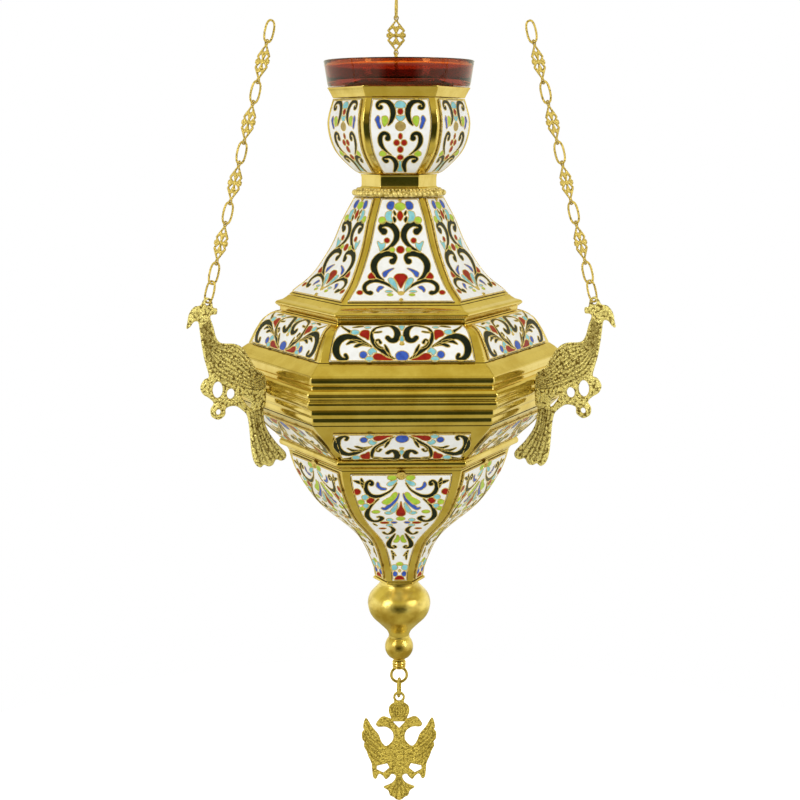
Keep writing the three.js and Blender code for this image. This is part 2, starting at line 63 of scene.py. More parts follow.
# Materials
class Nodes:
    """The nodes of one material or world, each input joined to a socket or set to a value."""

    def __init__(self, owner):
        owner.use_nodes = True
        self.owner, self.tree = owner, owner.node_tree

    def fill(self, node, inputs):
        for k, v in inputs.items():
            if isinstance(v, bpy.types.NodeSocket):
                self.tree.links.new(v, node.inputs[k])
            else:
                node.inputs[k].default_value = v

    def add(self, kind, inputs, out=0, **settings):
        node = self.tree.nodes.new(kind)
        for k, v in settings.items():
            setattr(node, k, v)
        self.fill(node, inputs)
        return node.outputs[out]

    def where(self, space="Object"):
        return self.add("ShaderNodeTexCoord", {}, space)

    def along(self, where, axis):
        return self.add("ShaderNodeSeparateXYZ", {0: where}, axis)

    def stretch(self, where, scale):
        return self.add("ShaderNodeMapping", {"Vector": where, "Scale": scale}, "Vector")

    def noise(self, where, scale, detail, rough=0.5):
        return self.add("ShaderNodeTexNoise", {"Vector": where, "Scale": scale, "Detail": detail,
                                               "Roughness": rough}, "Fac")

    def maths(self, operation, *values):
        return self.add("ShaderNodeMath", dict(enumerate(values)), operation=operation)

    def fade(self, value, start, end, low=0.0, high=1.0, kind="SMOOTHSTEP"):
        return self.add("ShaderNodeMapRange", {"Value": value, "From Min": start, "From Max": end,
                                               "To Min": low, "To Max": high}, "Result",
                        interpolation_type=kind)

    def mix(self, share, a, b):
        return self.add("ShaderNodeMix", {0: share, 6: a, 7: b}, 2, data_type="RGBA")

    def bump(self, strength, distance, height):
        return self.add("ShaderNodeBump", {"Strength": strength, "Distance": distance, "Height": height},
                        "Normal")

    def ramp(self, share, *stops):
        """A colour, or a grey given as one number, at each position."""
        node = self.tree.nodes.new("ShaderNodeValToRGB")
        self.fill(node, {"Fac": share})
        marks = node.color_ramp.elements
        while len(marks) < len(stops):
            marks.new(0.5)
        for mark, (position, colour) in zip(marks, stops):
            mark.position = position
            mark.color = (*np.broadcast_to(colour, 3), 1)
        return node.outputs["Color"]

    def rays(self):
        """Which rays are reflections, and which come straight or through glass from the eye."""
        ray = self.tree.nodes.new("ShaderNodeLightPath").outputs
        return ray["Is Glossy Ray"], self.maths("MAXIMUM", ray["Is Camera Ray"], ray["Is Transmission Ray"])

    def surface(self, inputs):
        self.fill(self.tree.nodes["Principled BSDF"], inputs)
        return self.owner


def material(name):
    n = Nodes(bpy.data.materials.new(name))
    return n, n.where()


def brass(name, light, dark, rough, grain, bump):
    """Brass with slow colour drift and a cloudy polish, finely brushed round the axis."""
    n, where = material("brass_" + name)
    brushed = n.noise(n.stretch(where, (1.0, 1.0, 9.0)), grain, 4.0, 0.75)
    return n.surface({
        "Base Color": n.ramp(n.noise(where, 60, 5.0, 0.6), (0.36, dark), (0.58, light)),
        "Roughness": n.ramp(n.noise(where, 240, 6.0, 0.7), (0.3, rough[0]), (0.72, rough[1])),
        "Metallic": 1.0, "Normal": n.bump(bump, 0.0004, brushed)})


def cast_brass(name, light, dark, rough, grain, deep):
    """Cast brass with a bumped grain, its colour painting a glint on each grain and shade where grains meet,
    and painted shade where the cut attribute marks grooves, bead valleys and pierced edges.
    """
    n, where = material("brass_" + name)
    cells = n.add("ShaderNodeTexVoronoi", {"Vector": where, "Scale": grain, "Randomness": 1.0}, "Distance")
    grain_and_glint = n.maths("MULTIPLY_ADD", n.noise(where, grain * 0.5, 3.0), 0.25, cells)
    # Painted shade: the colour darkens where the cut attribute marks grooves, bead valleys and pierced edges
    groove_shade = n.maths("MULTIPLY", n.add("ShaderNodeAttribute", {}, "Fac", attribute_name="cut"), 0.65)
    return n.surface({
        # The grain's colour paints a glint on each grain and shade where grains meet, besides the bumped
        # grain
        "Base Color": n.mix(groove_shade, n.ramp(grain_and_glint, (0.64, light), (0.9, dark)), (*dark, 1)),
        "Roughness": n.ramp(grain_and_glint, (0.5, rough[0]), (0.9, rough[1])),
        "Metallic": 0.45, "Normal": n.bump(1.0, deep, n.maths("SUBTRACT", 1.0, grain_and_glint))})


def fired(name, colour, shade, rough=0.14):
    """Fired glass enamel: colour that pools unevenly under a glossy skin with a slight orange peel."""
    n, where = material("enamel_" + name)
    peel = n.noise(where, 900, 2.0)
    return n.surface({
        "Base Color": n.ramp(n.noise(where, 320, 4.0, 0.65), (0.3, shade), (0.6, colour)),
        "Roughness": n.ramp(peel, (0.3, rough), (0.75, rough + 0.16)),
        "Specular IOR Level": 0.15, "Normal": n.bump(0.25, 0.0002, peel)})


def blown(name, *colours):
    """Blown glass whose colour changes with the height in the cup, faintly rippled."""
    n, where = material(name)
    foot, rim = ((LAMP + AT["glass"] + up) * MM for up in (0, 14.9))
    height = n.fade(n.along(where, "Z"), foot, rim, kind="LINEAR")
    uneven = n.maths("MULTIPLY_ADD", n.noise(where, 70, 3.0), 0.1, height)
    ripple = n.noise(where, 130, 2.0)
    return n.surface({
        "Base Color": n.ramp(uneven, *colours), "Roughness": n.ramp(ripple, (0.3, 0.01), (0.8, 0.05)),
        "Transmission Weight": 1.0, "IOR": 1.5, "Normal": n.bump(0.12, 0.0006, ripple)})


RUBY, AMBER = (0.23, 0.022, 0.013), (1.0, 0.42, 0.10)
MAT = {
    "polished": brass("polished", (0.85, 0.69, 0.24), (0.72, 0.55, 0.14), (0.04, 0.12), 700, 0.05),
    "satin": brass("satin", (0.84, 0.69, 0.26), (0.66, 0.49, 0.13), (0.14, 0.28), 500, 0.12),
    "strip": brass("strips", (0.84, 0.68, 0.22), (0.70, 0.53, 0.12), (0.05, 0.15), 620, 0.06),
    "vase": brass("vase", (0.97, 0.80, 0.26), (0.56, 0.40, 0.08), (0.08, 0.22), 330, 0.3),
    "cast": cast_brass("cast", (1.0, 0.87, 0.29), (0.20, 0.13, 0.01), (0.2, 0.5), 760, 0.0008),
    "eagle": cast_brass("eagle", (0.85, 0.66, 0.12), (0.34, 0.24, 0.02), (0.22, 0.5), 950, 0.001),
    "chain": cast_brass("chain", (0.85, 0.64, 0.14), (0.28, 0.19, 0.02), (0.2, 0.4), 1200, 0.0004),
    "ring": cast_brass("ring", (0.92, 0.74, 0.25), (0.34, 0.24, 0.03), (0.1, 0.3), 420, 0.0002),
    "wire": cast_brass("wire", (0.84, 0.63, 0.17), (0.36, 0.25, 0.04), (0.2, 0.34), 1500, 0.0001),
    # Near-black brass laid round each plate: painted shadow standing in for the gap between plate and brass
    "shadow_gap_paint": cast_brass("tarnished", (0.10, 0.07, 0.012), (0.02, 0.014, 0.003), (0.5, 0.8), 900, 0.0001),
    "K": fired("black_green", (0.012, 0.018, 0.009), (0.004, 0.007, 0.004)),
    "B": fired("blue", (0.045, 0.11, 0.46), (0.025, 0.06, 0.30)),
    "C": fired("turquoise", (0.26, 0.58, 0.60), (0.15, 0.42, 0.46)),
    "R": fired("red", (0.34, 0.014, 0.006), (0.19, 0.008, 0.004)),
    "L": fired("lime", (0.42, 0.60, 0.06), (0.28, 0.44, 0.03)),
    "O": fired("ochre", (0.42, 0.31, 0.10), (0.28, 0.19, 0.05)),
    "white": fired("white", (0.84, 0.84, 0.80), (0.77, 0.77, 0.72), 0.1),
    "glass": blown("ruby_glass_blown", (0.0, RUBY), (0.82, RUBY), (0.90, AMBER), (1.0, AMBER)),
}


# Meshes
class Mesh:
    """Points in lamp millimetres, faces with the number of their material, and how deep each point is cut."""

    def __init__(self, *shapes):
        self.points, self.faces, self.kind, self.cut, self.n = [], [], [], [], 0
        for shape in shapes:
            self.add(*shape)

    def add(self, points, faces, kind=0, cut=0.0):
        points = np.asarray(points, float).reshape(-1, 3)
        self.points.append(points)
        self.cut.append(np.broadcast_to(cut, len(points)))
        self.faces.extend(tuple(i + self.n for i in f) for f in faces)
        self.kind.extend([kind] * len(faces))
        self.n += len(points)

    def data(self, name, materials, sharp, raised=0.0):
        me = bpy.data.meshes.new(name)
        points = (np.concatenate(self.points) + [0, 0, raised]) * MM
        me.from_pydata(points.tolist(), [], self.faces)
        for m in materials:
            me.materials.append(MAT[m])
        # The cut is kept on the mesh so that the cast brass can paint shade into it
        cut = np.concatenate(self.cut)
        if cut.any():
            me.attributes.new("cut", "FLOAT", "POINT").data.foreach_set("value", cut)
        me.polygons.foreach_set("material_index", self.kind)
        me.polygons.foreach_set("use_smooth", [True] * len(self.faces))
        me.set_sharp_from_angle(angle=math.radians(sharp))
        me.validate()
        me.update()
        return me

    def piece(self, name, materials, nodes, sharp):
        return place(bpy.data.objects.new(name, self.data(name, materials, sharp, LAMP)), nodes)


def place(obj, nodes, matrix=None):
    bpy.context.scene.collection.objects.link(obj)
    if matrix is not None:
        obj.matrix_world = matrix
    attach(obj, BODY[nodes[0]])
    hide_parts(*nodes)
    return obj


def xy(text):
    """Points from words of two numbers each."""
    return [tuple(float(v) for v in word.split(",")) for word in text.split()]


def mirrored(points):
    return [(-x, y) for x, y in points[::-1]]


def turns(n, first=0.0):
    """Equal angles all round."""
    return (np.arange(n) + first) * 2 * math.pi / n


def loop_of(x, y, rx, ry, n=18):
    return np.column_stack([x + rx * np.cos(turns(n)), y + ry * np.sin(turns(n))])


def arc(y, r, start, end, n):
    """Points of a circle about (0, y) from one angle to another, in degrees."""
    return [(r * math.cos(q), y + r * math.sin(q)) for q in np.radians(np.linspace(start, end, n))]


def quads(rows, cols, wrap_rows=False, wrap_cols=False):
    out = []
    for i in range(rows if wrap_rows else rows - 1):
        for j in range(cols if wrap_cols else cols - 1):
            a, b = i * cols, (i + 1) % rows * cols
            out.append((a + j, a + (j + 1) % cols, b + (j + 1) % cols, b + j))
    return out


def catmull(points, per=8, ring=False):
    """A smooth line through the points, with this many steps between two of them."""
    p = np.asarray(points, float)
    n = len(p)
    t = (np.arange(per) / per)[:, None]
    out = []
    for i in range(n if ring else n - 1):
        if ring:
            a, b, c, d = (p[(i + k) % n] for k in (-1, 0, 1, 2))
        else:
            a, b, c, d = p[max(i - 1, 0)], p[i], p[i + 1], p[min(i + 2, n - 1)]
        out.append(0.5 * (2 * b + (c - a) * t + (2 * a - 5 * b + 4 * c - d) * t ** 2
                          + (3 * b - a - 3 * c + d) * t ** 3))
    if not ring:
        out.append(p[-1:])
    return np.concatenate(out)


def even(path, step, ring=False):
    """The path at equal steps of about this length."""
    p = np.vstack([path, path[:1]]) if ring else np.asarray(path, float)
    s = np.concatenate([[0], np.cumsum(np.linalg.norm(np.diff(p, axis=0), axis=1))])
    count = max(int(round(s[-1] / step)), 3)
    t = np.linspace(0, s[-1], count + 1)
    if ring:
        t = t[:-1]
    return np.column_stack([np.interp(t, s, p[:, k]) for k in range(p.shape[1])])


def rounded(points, radius):
    """A closed outline whose corners are eased, none by more than this."""
    p = np.asarray(points, float)
    out = []
    for a, b, c in zip(np.roll(p, 1, 0), p, np.roll(p, -1, 0)):
        la, lc = np.linalg.norm(a - b), np.linalg.norm(c - b)
        ease = min(radius, 0.42 * la, 0.42 * lc)
        s, e = b + (a - b) * ease / la, b + (c - b) * ease / lc
        out += [s, 0.25 * s + 0.5 * b + 0.25 * e, e]
    return np.array(out)


def lathe(section, sides, poles=False):
    """A section of (radius, height) turned about the axis, closed in itself or with both its ends there."""
    p = np.asarray(section, float)
    r, z = np.split(p[1:-1] if poles else p, 2, 1)
    a = turns(sides)
    pts = np.stack([r * np.cos(a), r * np.sin(a), np.repeat(z, sides, 1)], -1).reshape(-1, 3)
    if not poles:
        return pts, quads(len(r), sides, True, True)
    n = len(pts)
    ends = [(i, (i + 1) % sides) for i in range(sides)]
    return (np.vstack([pts, [[0, 0, p[0, 1]], [0, 0, p[-1, 1]]]]),
            [(n, j, i) for i, j in ends] + quads(len(r), sides, False, True)
            + [(n + 1, n - sides + i, n - sides + j) for i, j in ends])


def six(section, ease):
    """A closed section of (corner radius, height) carried round the hexagon, its ridges eased."""
    p = np.asarray(section, float)
    corners, eased = [], []
    for q in np.radians(np.arange(-60, 300, 60)):
        corner, along = np.array([[math.cos(q), math.sin(q)], [-math.sin(q), math.cos(q)]])
        for far in (-2.2, -1, 0, 1, 2.2):
            corners.append(corner)
            eased.append(ease * (far * C30 * along - (0.5 * abs(far) if far else 0.268) * corner))
    level = p[:, :1, None] * np.array(corners) + np.array(eased)
    height = np.broadcast_to(p[:, 1:, None], (*level.shape[:2], 1))
    return np.concatenate([level, height], -1).reshape(-1, 3), quads(*level.shape[:2], True, True)


def tube(path, radius, sides, axis, first=0.5):
    """A closed wire along a path that is square to this axis."""
    ahead = np.roll(path, -1, 0) - np.roll(path, 1, 0)
    ahead /= np.linalg.norm(ahead, axis=1)[:, None]
    out = np.cross(ahead, np.eye(3)[axis])
    a = turns(sides, first)
    pts = path[:, None] + out[:, None] * (radius * np.cos(a))[..., None]
    pts[..., axis] += radius * np.sin(a)
    return pts.reshape(-1, 3), quads(len(path), sides, True, True)


# The enamel ornament of one face, as points across (in thousandths of the half face) and up the face (in
# thousandths of its length), each item repeated on the other side of the centre line. S is a scroll and its
# last numbers its widths, in tenths of a millimetre. Another letter is a cell of that colour (G is gold), a
# dot with its two radii, or a stroke where it has more widths than two.
MOTIFS = {
    "cup": """
S 547,878 600,869 640,895 627,927 547,947 449,953 348,939 260,903 215,860 198,808 216,763
 261,718 328,680 22 14 15 14 15 18 21 24 25 25 21 14 2
S 345,537 335,566 374,586 440,592 510,577 548,549 562,514 551,473 500,425 410,381 286,339 27 17
 14 16 18 20 21 20 14 8 2
S 465,249 529,268 543,286 486,303 388,311 296,303 214,278 156,237 138,195 167,139 222,89 23 14
 11 14 17 19 20 21 21 17 11
C 0,950 78,944 137,921 150,895 117,878 0,874
R 0,832 13 15
C 0,773 47,780 114,785 118,774 107,763 60,737 0,729
O 0,668 24 20
R 0,558 9 14
R 105,484 14 14
R 0,404 14 16
R 0,303 15 15
C 0,249 34,241 37,163 90,115 93,93 0,89
B 612,783 563,763 560,718 521,668 536,645 575,648 607,673 639,712 670,741
L 483,768 410,777 349,763 338,724 381,690 434,671 460,690 480,718
L 527,385 435,352 500,325 614,328 619,362""",
    "bell": """
S 519,678 642,703 615,731 433,747 240,723 121,672 116,615 215,559 367,517 538,484 33 18 19 25 28
 28 25 18 11 3
S 203,396 140,425 185,456 332,470 513,456 633,412 661,356 603,297 498,244 374,211 31 17 21 26 28
 30 30 26 17 4
S 589,67 669,78 739,125 733,170 629,202 480,202 306,172 170,130 53,72 28 16 17 19 19 17 14 9 3
L 0,910 25 19
B 251,951 411,955 506,925 470,892 319,881 251,907
R 0,866 98,823 0,777
K 229,870 150,841 181,827 224,846
K 227,813 148,788 181,762 233,788
C 312,861 480,856 517,820 460,777 309,759 272,777 335,813
L 613,780 16 16
R 399,595 12 12
C 670,585 559,561 464,569 468,531 553,498 587,524 636,553
R 0,508 18 18
L 232,508 11 11
B 166,327 238,322 343,304 415,282 378,244 329,252 292,286 225,309
R 0,272 88,267 143,237 83,199 32,151 0,125
C 270,221 186,226 117,183 65,86 120,99 208,163
R 669,285 577,244 600,221 705,229 729,256
B 358,137 439,144 475,108 440,78 416,103 374,120
C 237,85 16 5
L 204,45 12 6
R 788,72 13 13
G 0,63 12 10""",
    "dome": """
S 699,164 677,95 724,68 790,137 829,262 836,401 797,521 717,572 610,532 502,445 389,347 16 15 16
 26 32 33 32 26 24 16 3
S 421,362 510,401 580,362 602,347 3 13 13 4
S 527,456 640,466 707,401 5 16 4
S 94,80 172,158 259,273 337,380 388,499 405,634 370,775 283,849 175,877 87,757 58,610 88,499
 143,484 189,542 2 11 18 21 16 11 10 13 16 24 29 26 21 21
S 388,658 318,671 280,683 2 6 4
S 248,315 305,358 341,455 306,498 278,434 5 5 6 7 12
S 135,105 186,273 220,380 3 13 4
B 0,137 30 24
R 353,127 327,185 267,178 194,105 116,47 239,43 321,64
C 369,304 323,231 364,220 385,168 419,242
C 401,74 17 11
B 480,168 16 16
R 452,697 439,510 487,554 541,587 560,634 532,711
C 636,671 19 11
C 483,811 13 6
C 0,877 -35,849 -13,758 0,726
C 0,583 -25,521 0,460
G 0,445 -21,401 0,389
S 889,902 800,775 704,683 3 8 13
S 688,811 626,837 560,849 4 10 4""",
    "cone": """
G 0,978 16 14
S 83,926 161,883 267,854 375,834 482,829 568,840 619,867 629,899 597,928 545,940 505,931 520,921
 2 6 10 14 17 18 18 16 12 10 12 20
S 676,896 677,928 687,955 4 16 6
S 673,921 754,935 818,943 8 12 2
S 430,808 524,778 628,740 705,700 739,664 702,628 612,611 507,617 428,640 466,655 529,654 5 7 12
 19 21 16 14 14 21 12 4
L 158,963 17 9
C 237,918 205,931 144,938 83,945 108,931 158,916 208,910
B 414,928 390,926 369,904 322,894 272,891 287,881 361,883 420,901 428,916
L 87,854 103,823 172,796 245,769 327,772 350,787 277,807 195,824 139,852
B 42,851 70,818 133,784 236,752 320,728 375,734 2 8 14 18 16 10
C 73,775 97,731 145,700 198,697 202,712 139,743
C 259,692 14 7
R 0,784 21,743 74,706 83,680 46,667 0,667
L 526,702 15 7
L 0,636 16 10
C 257,625 11 8
R 390,594 17 6
B 158,596 10 6
C 284,564 11 7
R 802,865 14 14
R 583,795 15 15
C 671,823 12 12
L 773,784 11 11
C 701,751 11 11
L 785,731 9 9
S 673,585 643,572 613,559 2 8 3
S 278,551 220,528 196,498 262,468 360,446 448,443 504,456 515,470 5 13 17 16 12 10 12 10
R 492,522 13 4
S 169,446 256,407 367,368 482,327 509,297 433,281 319,278 210,285 276,295 4 11 16 20 18 12 9 11
 13
L 96,425 54,407 41,379 81,347 157,337 246,342 199,363 139,384
C 460,393 5 5
S 428,253 366,230 223,208 2 11 2
S 367,229 379,198 395,177 9 7 2
L 0,141 12 7
C 375,112 13 14
B 353,79 198,63 304,46 500,57
R 0,43 170,40 327,23 0,19
G 0,93 57,86 0,79""",
}


# The enamelled tiers: the outer surface of six equal faces over one profile
class Tier:
    """One tier, from its profile of (corner radius, height). foot and head are what the plates leave free
    below and above, margin what they leave free beside them there, and lead the part of the profile below
    the drawing."""

    def __init__(self, name, profile, foot, head, margin, lead=0.0):
        c = catmull(xy(profile), 40) + [0, AT[name]]
        a = c * [C30, 1]
        self.name, self.a, self.r = name, a, c[:, 0]
        self.s = np.concatenate([[0], np.cumsum(np.linalg.norm(np.diff(a, axis=0), axis=1))])
        t = np.gradient(a, self.s, axis=0)
        self.out = np.column_stack([t[:, 1], -t[:, 0]]) / np.linalg.norm(t, axis=1)[:, None]
        self.long = self.s[-1]
        self.foot, self.head = np.interp([c[0, 1] + foot, c[-1, 1] - head], c[:, 1], self.s)
        self.margin, self.lead = margin, lead

    def half(self, s):
        return np.interp(s, self.s, self.r) / 2

    def field(self, s):
        """Half the width that the plate takes up."""
        return self.half(s) - np.interp(s, [self.foot, self.head], self.margin)

    def at(self, x, s, lift, k):
        """The point of face k that is x across, s along the profile and lift above it."""
        x, s, lift = np.broadcast_arrays(np.asarray(x, float), s, lift)
        a, z = (np.interp(s, self.s, self.a[:, i]) + lift * np.interp(s, self.s, self.out[:, i])
                for i in (0, 1))
        phi = math.radians(-90 + 60 * k)
        c, d = math.cos(phi), math.sin(phi)
        return np.stack([c * a - d * x, d * a + c * x, z], -1)


# Height of a plate and its overhang, width of a wire and of the painted shadow round a plate, wall of a tier,
# what the drawings leave free at a plate's ends, and how much a hung drawing is stretched
PLATE, OVERHANG, WIRE_WIDE, GROOVE, SHELL, CLEAR, HUNG = 0.9, 0.4, 0.5, 0.5, 2.4, 0.8, 1.35
# The last look and the last number are the painted shadow round each plate
PLATE_LOOKS = ["white", "K", "B", "C", "R", "L", "O", "wire", "shadow_gap_paint"]
WHITE, GOLD, PAINTED_GAP_SHADE = 0, 7, 8
CAP = 5  # points of a stroke's round end


def tier_body(t):
    """The brass of one tier, a six-sided shell whose ridges show between the plates."""
    s = np.linspace(0, t.long, 18)
    r, z, out = (np.interp(s, t.s, v) for v in (t.r, t.a[:, 1], t.out[:, 0]))
    inner = r - SHELL / np.maximum(out, 0.35) / C30
    section = np.column_stack([np.concatenate([r, inner[::-1]]), np.concatenate([z, z[::-1]])])
    Mesh(six(section, 0.45)).piece(f"{t.name}_strips", ["strip"], [f"{t.name}_frame"], 30)


def outward(p):
    """The normals of a closed line of points that runs anticlockwise."""
    along = np.roll(p, -1, 0) - np.roll(p, 1, 0)
    size = np.linalg.norm(along, axis=1)[:, None]
    return np.column_stack([along[:, 1], -along[:, 0]]) / np.maximum(size, 1e-6)


def at_height(p, up):
    """Flat points, all at one height."""
    return np.column_stack([p, np.full(len(p), up)])


class Work:
    """The enamel work of one face, in millimetres across it, along it and above it."""

    def __init__(self):
        self.parts = []

    def add(self, xs, faces, kind):
        self.parts.append((np.asarray(xs, float), faces, kind))

    def wire(self, p, width=WIRE_WIDE, tall=0.16):
        """Flat gold wire round an anticlockwise outline, its foot on the plate."""
        side = outward(p) * width / 2
        rows = [at_height(p + side * k, PLATE + up)
                for k, up in ((-1, 0), (-0.55, tall), (0.55, tall), (1, 0))]
        self.add(np.stack(rows, 1), quads(len(p), 4, True), GOLD)

    def stroke(self, ctrl, widths, kind):
        """A scroll with round ends, highest along its middle, and the wire round it."""
        path = catmull(ctrl, 4)
        w = np.interp(np.linspace(0, len(ctrl) - 1, len(path)), np.arange(len(ctrl)), widths)
        along = np.gradient(path, axis=0)
        along /= np.linalg.norm(along, axis=1)[:, None]
        right = np.column_stack([along[:, 1], -along[:, 0]])
        n = len(path)

        def edge(grow):
            ends = []
            for centre, ahead, across, r in ((path[-1], along[-1], right[-1], w[-1] / 2 + grow),
                                             (path[0], -along[0], -right[0], w[0] / 2 + grow)):
                a = np.linspace(-math.pi / 2, math.pi / 2, CAP + 2)[1:-1, None]
                ends.append(centre + r * (np.cos(a) * ahead - np.sin(a) * across))
            reach = right * (w[:, None] / 2 + grow)
            return np.concatenate([path + reach, ends[0], (path - reach)[::-1], ends[1]])
        rim = edge(0.06)
        last = n + len(rim)
        faces = [(i, n + i, n + i + 1, i + 1) for i in range(n - 1)]
        faces += [(n - 1, n + j, n + j + 1) for j in range(n - 1, n + CAP)]
        faces += [(n - 1 - i, 2 * n + CAP + i, 2 * n + CAP + 1 + i, n - 2 - i) for i in range(n - 1)]
        faces += [(0, j, j + 1 if j + 1 < last else n) for j in range(3 * n + CAP - 1, last)]
        self.add(np.vstack([at_height(path, PLATE + 0.13), at_height(rim, PLATE + 0.05)]), faces, kind)
        self.wire(edge(WIRE_WIDE / 2))

    def cell(self, outline, kind):
        """A cell inside a smooth outline, and the wire round it."""
        ring = catmull(outline, 4, True)
        if np.sum(ring[:, 0] * np.roll(ring[:, 1], -1) - np.roll(ring[:, 0], -1) * ring[:, 1]) < 0:
            ring = ring[::-1]
        good = []
        for i, j, k in tessellate_polygon([[Vector((x, y, 0)) for x, y in ring]]):
            u, v = ring[j] - ring[i], ring[k] - ring[i]
            good.append((i, j, k) if u[0] * v[1] - u[1] * v[0] > 0 else (i, k, j))
        self.add(at_height(ring + 0.06 * outward(ring), PLATE + 0.08), good, kind)
        self.wire(ring + WIRE_WIDE / 2 * outward(ring))

    def dot(self, x, y, rx, ry, kind, n=14):
        """A domed oval cell, and the wire round it."""
        ring = loop_of(x, y, rx, ry, n)
        self.add(np.vstack([[x, y, PLATE + 0.16], at_height(ring, PLATE + 0.06)]),
                 [(0, 1 + i, 1 + (i + 1) % n) for i in range(n)], kind)
        self.wire(ring + WIRE_WIDE / 2 * outward(ring))

    def pin(self, s, n=16):
        """The riveted head of a pin on the plate, dished in the middle."""
        rings = [(1.15, 0), (1.15, 0.5), (0.9, 0.85), (0.55, 0.85), (0.4, 0.4)]
        pts = [at_height(loop_of(0, s, r, r, n), PLATE + up) for r, up in rings] + [[0, s, PLATE + 0.35]]
        middle = len(rings) * n
        self.add(np.vstack(pts), quads(len(rings), n, False, True)
                 + [(middle - n + i, middle - n + (i + 1) % n, middle) for i in range(n)], GOLD)


def plate(work, t, rows, cols=9):
    """A white enamelled plate that stands on the brass, with its gold edge and a dark strip of painted shadow
    round it.
    """
    s = np.linspace(t.foot - OVERHANG, t.head + OVERHANG, rows)
    reach = t.field(s) + OVERHANG
    grid = np.stack([reach[:, None] * np.linspace(-1, 1, cols), np.repeat(s[:, None], cols, 1)], -1)
    work.add(np.concatenate([grid, np.full((rows, cols, 1), PLATE)], -1), quads(rows, cols), WHITE)
    edge = np.concatenate([grid[:, -1], grid[-1, -2::-1], grid[-2::-1, 0], grid[0, 1:-1]])
    out = outward(edge)
    # The dark strip round the plate is painted shadow for the gap to the brass; the gold edge stands on it
    for kind, rings in ((PAINTED_GAP_SHADE, ((GROOVE, -0.3), (GROOVE, 0.06), (0, 0.08))),
                        (GOLD, ((0, 0.08), (0, PLATE - 0.15), (-0.12, PLATE + 0.02)))):
        work.add(np.concatenate([at_height(edge + far * out, up) for far, up in rings]),
                 quads(len(rings), len(edge), False, True), kind)
    inset = 0.36
    inside = np.concatenate([np.column_stack([side * (reach - inset), s])[::side] for side in (1, -1)])
    inside[:, 1] = np.clip(inside[:, 1], s[0] + inset, s[-1] - inset)
    work.wire(even(inside, 1.4, True), 0.6, 0.12)
    return s[0], s[-1]


def items(name):
    """The items of a drawing: letter, points and sizes in millimetres."""
    out = []
    for word in MOTIFS[name].split():
        if word.isalpha():
            out.append((word, [], []))
        elif "," in word:
            out[-1][1].append([float(v) / 1000 for v in word.split(",")])
        else:
            out[-1][2].append(float(word) / 10)
    return out


def grown(p, by):
    """A small outline enlarged all round its middle."""
    middle = p.mean(0)
    spokes = p - middle
    return middle + spokes * (1 + by / np.maximum(np.linalg.norm(spokes, axis=1), 0.6))[:, None]


def motif(t, rows, bold, fuller, pins, drawing=None):
    """One face's plate and ornament, six times over. An outline from the centre line back to it is closed by
    its mirror image. A drawing of another tier is hung head down."""
    work = Work()
    low, high = plate(work, t, rows)
    source = drawing or t
    for letter, uv, sizes in items(source.name):
        uv, w = np.array(uv), [v * bold for v in sizes]
        s = source.lead + uv[:, 1] * (source.long - source.lead)
        x = uv[:, 0] * source.half(s)
        if drawing:
            s = t.head - HUNG * (s - source.foot)
            if (s < low + CLEAR + 0.1).all():
                continue
        p = np.column_stack([x, np.clip(s, low + CLEAR, high - CLEAR)])
        kind = PLATE_LOOKS.index({"S": "K", "G": "wire"}.get(letter, letter))
        for side in (1, -1):
            q = p * [side, 1]
            if letter == "S" or len(w) > 2:
                work.stroke(q, w, kind)
            elif len(p) == 1:
                if side == 1 or abs(x[0]) > 0.4:
                    work.dot(*q[0], w[0] + fuller, (HUNG if drawing else 1) * (w[1] + fuller), kind)
            elif abs(x[0]) < 0.35 and abs(x[-1]) < 0.35:
                if side == 1:
                    work.cell(grown(np.concatenate([p, (p * [-1, 1])[-2:0:-1]]), fuller), kind)
            else:
                work.cell(grown(q, fuller), kind)
    for s in pins:
        work.pin(s)
    m = Mesh()
    for face in range(6):
        for q, faces, kind in work.parts:
            m.add(t.at(q[..., 0], q[..., 1], q[..., 2], face), faces, kind)
    m.piece(f"{t.name}_plates", PLATE_LOOKS, [f"{t.name}_enamel"], 40)


# Each tier with the rows of its plate and how much bolder its strokes and how much fuller its cells are drawn
TIERS = [
    (Tier("cup", "23.5,0 29.6,4.2 38.6,14.5 42.2,28.9 38.8,43.1", 1.6, 1.4, (4.1, 4.2)), 26, 1.12, 0.0),
    (Tier("bell", "66.2,-2.5 63.3,0 52.5,9.1 40.6,26.7 33.9,42 26.5,55.6", 1.5, 1.2, (2.8, 3.2), 3.8),
     32, 1.15, 0.1),
    (Tier("dome", "90.9,0 89.1,3.6 86.2,9 81.1,15.7 72.8,19.2", 1.0, 1.0, (5.6, 4.0)), 20, 1.15, 0.15),
    (Tier("frieze", "72.2,-23.6 84.95,-11.8 97.7,0", 1.2, 5.2, (3.2, 8.4)), 12, 1.15, 0.15),
    (Tier("cone", "15.2,-80.7 17.4,-71.1 27.4,-52.3 50.6,-32 63.3,-13 67.7,0", 1.6, 2.0, (3.8, 5.0)),
     40, 1.3, 0.3),
]
for tier, rows, bold, fuller in TIERS:
    tier_body(tier)
    pins = {"bell": (tier.foot + 0.6, tier.head - 0.6), "cone": (tier.head - 1.4,)}.get(tier.name, ())
    motif(tier, rows, bold, fuller, pins, TIERS[2][0] if tier.name == "frieze" else None)


def rope(path, radius, pitch, sides, per):
    """A beaded wire along a closed level path, its beads slanted like the strands of a rope."""
    round_it = np.sum(np.linalg.norm(np.diff(np.vstack([path, path[:1]]), axis=0), axis=1))
    p = even(path, round_it / (round(round_it / pitch) * per), True)
    slant = np.abs(np.sin(math.pi * (np.arange(len(p))[:, None] / per) + 0.6 * np.sin(turns(sides))))
    pts, faces = tube(p, radius * (0.55 + 0.45 * slant ** 0.6), sides, 2, 0)
    # The cut marks the valleys between the beads, where the cast brass paints shade
    return pts, faces, 0, np.clip(1 - 2 * slant.ravel(), 0, 1)


